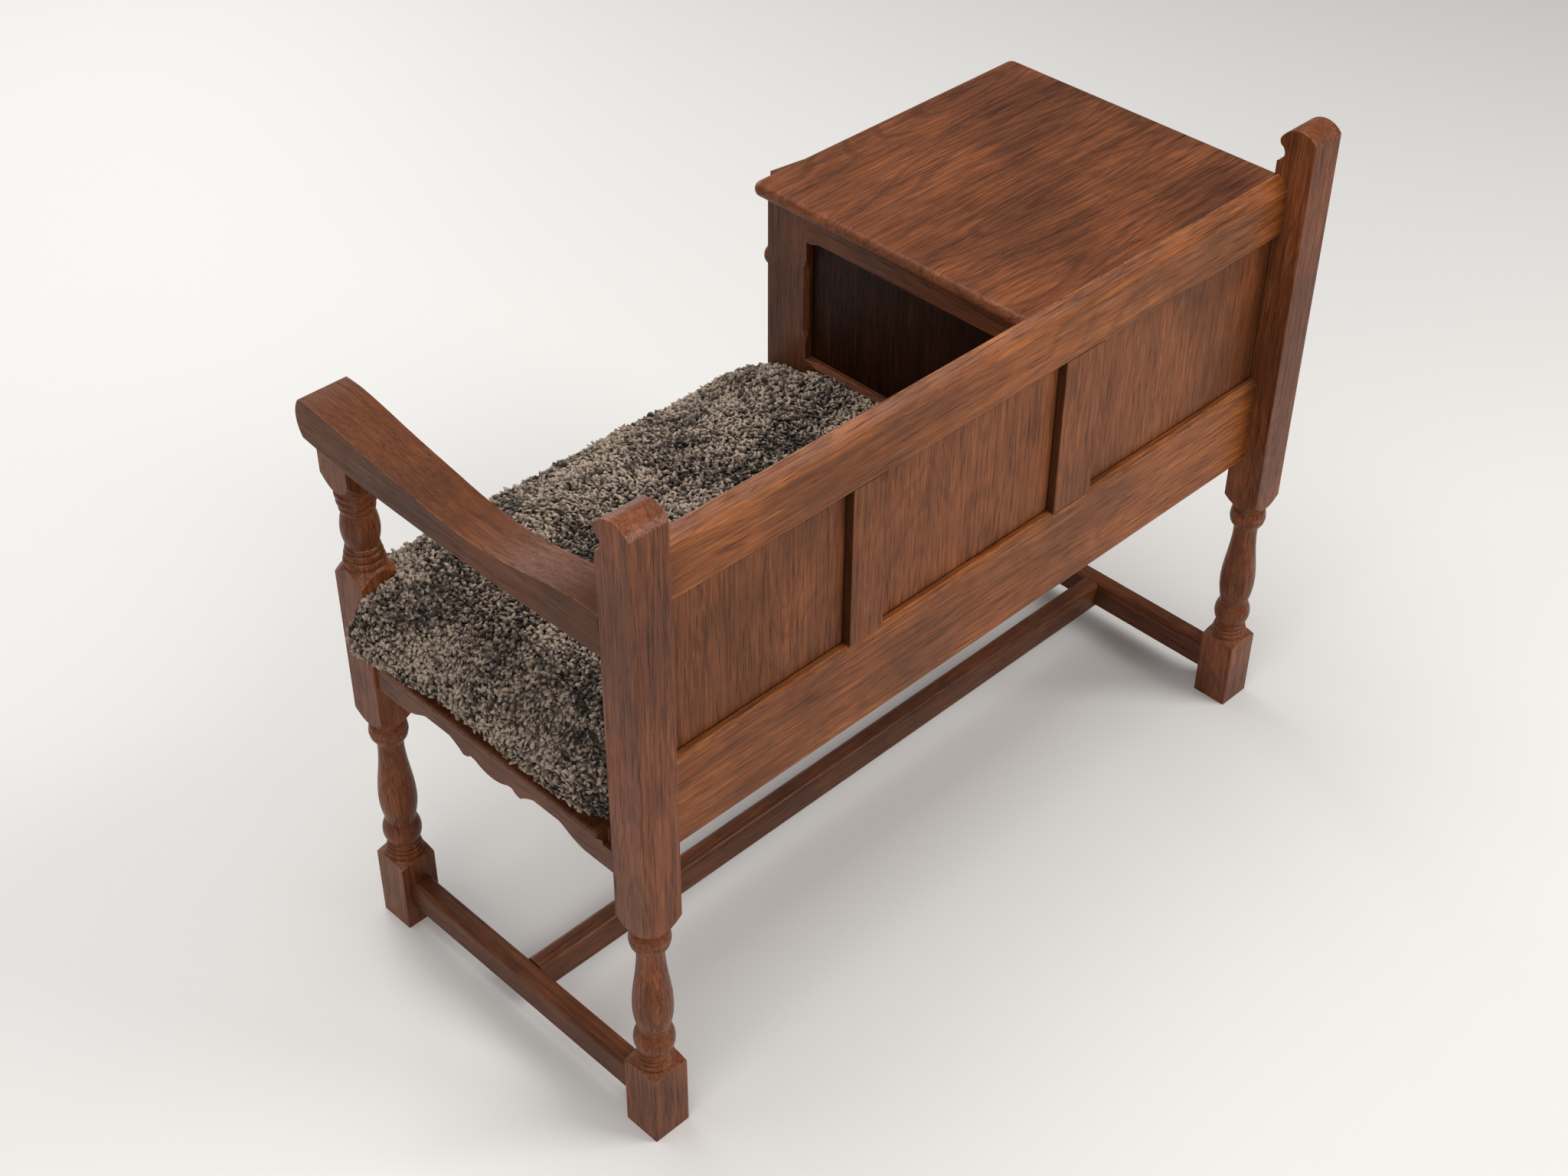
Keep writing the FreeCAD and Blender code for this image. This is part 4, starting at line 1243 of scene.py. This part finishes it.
@dataclass
class Sheepskin:
    """The woolly cover over the seat pad: a lumpy fleece set with thousands of curly locks.

    Args:
        library: the materials.
        seed: start of the random numbers.
        depth: how far the fleece's ground lies inside the cushion's form.
        pitch: distance between the locks.
        length: length of a lock.
        width: half the width of a lock at its fattest.
        curl: how far a lock winds off its own line.
        turns: how many times a lock winds.
        shapes: how many different locks there are.
        share: most locks in one piece.
        lumps: scale and height of each noise on the ground.
        level: height of the ground's foot that has no lumps.
        swell: height above it over which the lumps grow full.
        outline: share of its length and of its width at each ring of a lock.
        hem: how the hem is drawn in.
        growth: how the locks stand on the ground.
    """

    library: MaterialLibrary
    seed: int = 7
    depth: float = 3.0 * MM
    pitch: float = 4.3 * MM
    length: float = 8.5 * MM
    width: float = 2.5 * MM
    curl: float = 2.1 * MM
    turns: float = 1.2
    shapes: int = 6
    share: int = 4800
    lumps: tuple[tuple[float, float], ...] = ((11.0, 4.0 * MM), (48.0, 2.0 * MM))
    level: float = 1.0 * MM
    swell: float = 12.0 * MM
    outline: tuple[tuple[float, float], ...] = (
        (0.0, 0.70), (0.28, 1.0), (0.55, 1.0), (0.82, 0.85), (1.0, 0.42))
    hem: Hem = Hem()
    growth: Growth = Growth()

    def ground(self) -> bpy.types.Object:
        """Make the fleece's ground as a closed, lumpy mesh a little inside the cushion's form.

        Returns:
            The object.
        """
        builder = bmesh.new()
        builder.from_mesh(bpy.data.objects["sheepskin_cover"].data)
        mesh = bpy.data.meshes.new("sheepskin")
        builder.to_mesh(mesh)
        builder.free()
        piece = link("sheepskin", mesh)
        modify(piece, "REMESH", mode="VOXEL", voxel_size=self.pitch)
        modify(piece, "SMOOTH", iterations=3, factor=0.5)
        low = min(vertex.co.z for vertex in piece.data.vertices)
        board_low, board_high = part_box("seat_board")
        builder = bmesh.new()
        builder.from_mesh(piece.data)
        builder.normal_update()
        staple = builder.verts.layers.float_color.new(STAPLE)
        for vertex in builder.verts:
            self.hem.tuck(vertex, low, board_high.x, board_low.y)
            free = held((vertex.co.z - low - self.level) / self.swell)
            lump = sum(noise.noise(vertex.co * scale) * height for scale, height in self.lumps)
            vertex.co += vertex.normal * (lump - self.depth) * free
            # The ground takes the roots' dark colour, a painted shade under the locks.
            vertex[staple] = (GROUND_RISE, MIDDLE_TINT, 0.0, 1.0)
        builder.to_mesh(piece.data)
        builder.free()
        return piece

    def lock(self, turn: float, bend: float) -> bpy.types.Mesh:
        """Make one curly lock on its own: a tapered tube that winds about its line.

        Args:
            turn: where the curl starts, in turns.
            bend: how far the tip leans over.

        Returns:
            The mesh, standing on the origin along +Z.
        """
        builder = bmesh.new()
        staple = builder.verts.layers.float_color.new(STAPLE)
        made = bmesh.ops.create_circle(builder, cap_ends=False, segments=4, radius=self.width)
        ring = made["verts"]
        edges = list({edge for vertex in ring for edge in vertex.link_edges})
        for index, (share, wide) in enumerate(self.outline):
            if index:
                grown = bmesh.ops.extrude_edge_only(builder, edges=edges)["geom"]
                ring = [item for item in grown if isinstance(item, bmesh.types.BMVert)]
                edges = [item for item in grown if isinstance(item, bmesh.types.BMEdge)
                         and all(vertex in ring for vertex in item.verts)]
            middle = sum((vertex.co for vertex in ring), Vector()) / len(ring)
            angle = math.tau * (turn + self.turns * share)
            place = Vector((math.cos(angle) * self.curl * share + bend * share ** 2,
                            math.sin(angle) * self.curl * share, self.length * share))
            for vertex in ring:
                spread = (vertex.co - middle).normalized() * self.width * wide
                vertex.co = place + spread
                vertex[staple] = (share, MIDDLE_TINT, 0.0, 1.0)
        bmesh.ops.contextual_create(builder, geom=edges)
        foot = [edge for edge in builder.edges if edge.is_boundary]
        bmesh.ops.contextual_create(builder, geom=foot)
        bmesh.ops.recalc_face_normals(builder, faces=builder.faces)
        mesh = bpy.data.meshes.new("lock")
        builder.to_mesh(mesh)
        builder.free()
        return mesh

    def lean(self, root: Root, low: float) -> Vector:
        """Say which way a lock grows.

        Args:
            root: where it stands.
            low: height of the cushion's foot.

        Returns:
            The direction.
        """
        near = root.place * self.growth.drift_scale
        drift = Vector((noise.noise(near), noise.noise(near + Vector((9.0, 0.0, 0.0))),
                        noise.noise(near + Vector((0.0, 9.0, 0.0)))))
        way = root.normal + drift * self.growth.drift
        if root.place.z < low + self.growth.hem_band:
            way.z += self.growth.hem_rise
        return way.normalized()

    def plant(self, builder: bmesh.types.BMesh, locks: Sequence[bpy.types.Mesh], root: Root,
              low: float, chance: random.Random) -> None:
        """Set one lock on the ground.

        Args:
            builder: the mesh that takes it.
            locks: the different locks.
            root: where it stands.
            low: height of the cushion's foot.
            chance: the random numbers.
        """
        growth = self.growth
        way = self.lean(root, low)
        hem = held(1.0 - (root.place.z - low) / growth.hem_reach)
        size = chance.uniform(*growth.sizes) * (1.0 - growth.hem_shrink * hem)
        stand = way.to_track_quat("Z", "Y").to_matrix().to_4x4()
        matrix = (Matrix.Translation(root.place - root.normal * growth.sink) @ stand
                  @ Matrix.Rotation(chance.uniform(0.0, math.tau), 4, "Z")
                  @ Matrix.Diagonal((size, size, size * chance.uniform(*growth.stretches), 1.0)))
        copy = locks[chance.randrange(self.shapes)]
        copy.transform(matrix)
        tint = chance.random()
        for value in copy.attributes[STAPLE].data:
            value.color = (value.color[0], tint, hem, 1.0)
        builder.from_mesh(copy)
        copy.transform(matrix.inverted())

    def pile(self, cover: bpy.types.Object) -> list[bpy.types.Object]:
        """Set the locks on the ground.

        Args:
            cover: the fleece's ground.

        Returns:
            The pieces that hold the locks.
        """
        chance = random.Random(self.seed)
        locks = [self.lock(index / self.shapes, (1.0 + index % 3) * MM)
                 for index in range(self.shapes)]
        low = min(vertex.co.z for vertex in cover.data.vertices)
        roots = [Root(face.center.copy(), face.normal.copy()) for face in cover.data.polygons
                 if face.center.z > low + self.growth.bare
                 and face.normal.z > self.growth.steepest]
        chance.shuffle(roots)
        pieces = []
        for start in range(0, len(roots), self.share):
            builder = bmesh.new()
            builder.verts.layers.float_color.new(STAPLE)
            for root in roots[start:start + self.share]:
                self.plant(builder, locks, root, low, chance)
            mesh = bpy.data.meshes.new("sheepskin_pile")
            builder.to_mesh(mesh)
            builder.free()
            pieces.append(link("sheepskin_pile_%d" % (len(pieces) + 1), mesh))
        return pieces

    def build(self) -> None:
        cover = self.ground()
        pieces = self.pile(cover)
        wool = self.library.fleece("curly_wool", WoolFinish())
        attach(cover, "bench")
        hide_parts("sheepskin_cover", "seat_pad")
        for piece in pieces:
            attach(piece, "bench")
        for piece in (cover, *pieces):
            assign(piece, wool)
            for face in piece.data.polygons:
                face.use_smooth = True
            LOG.info("%s has %d faces", piece.name, len(piece.data.polygons))


def main() -> None:
    """Load the frame and build the looks in order."""
    logging.basicConfig(level=logging.INFO, format="%(message)s")
    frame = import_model()
    library = MaterialLibrary()
    nodes = frame["nodes"]
    for part in (Studio(), Joinery(library, nodes), Hardware(library, nodes), Sheepskin(library)):
        LOG.info("building the %s", type(part).__name__.lower())
        part.build()


if __name__ == "__main__":
    main()
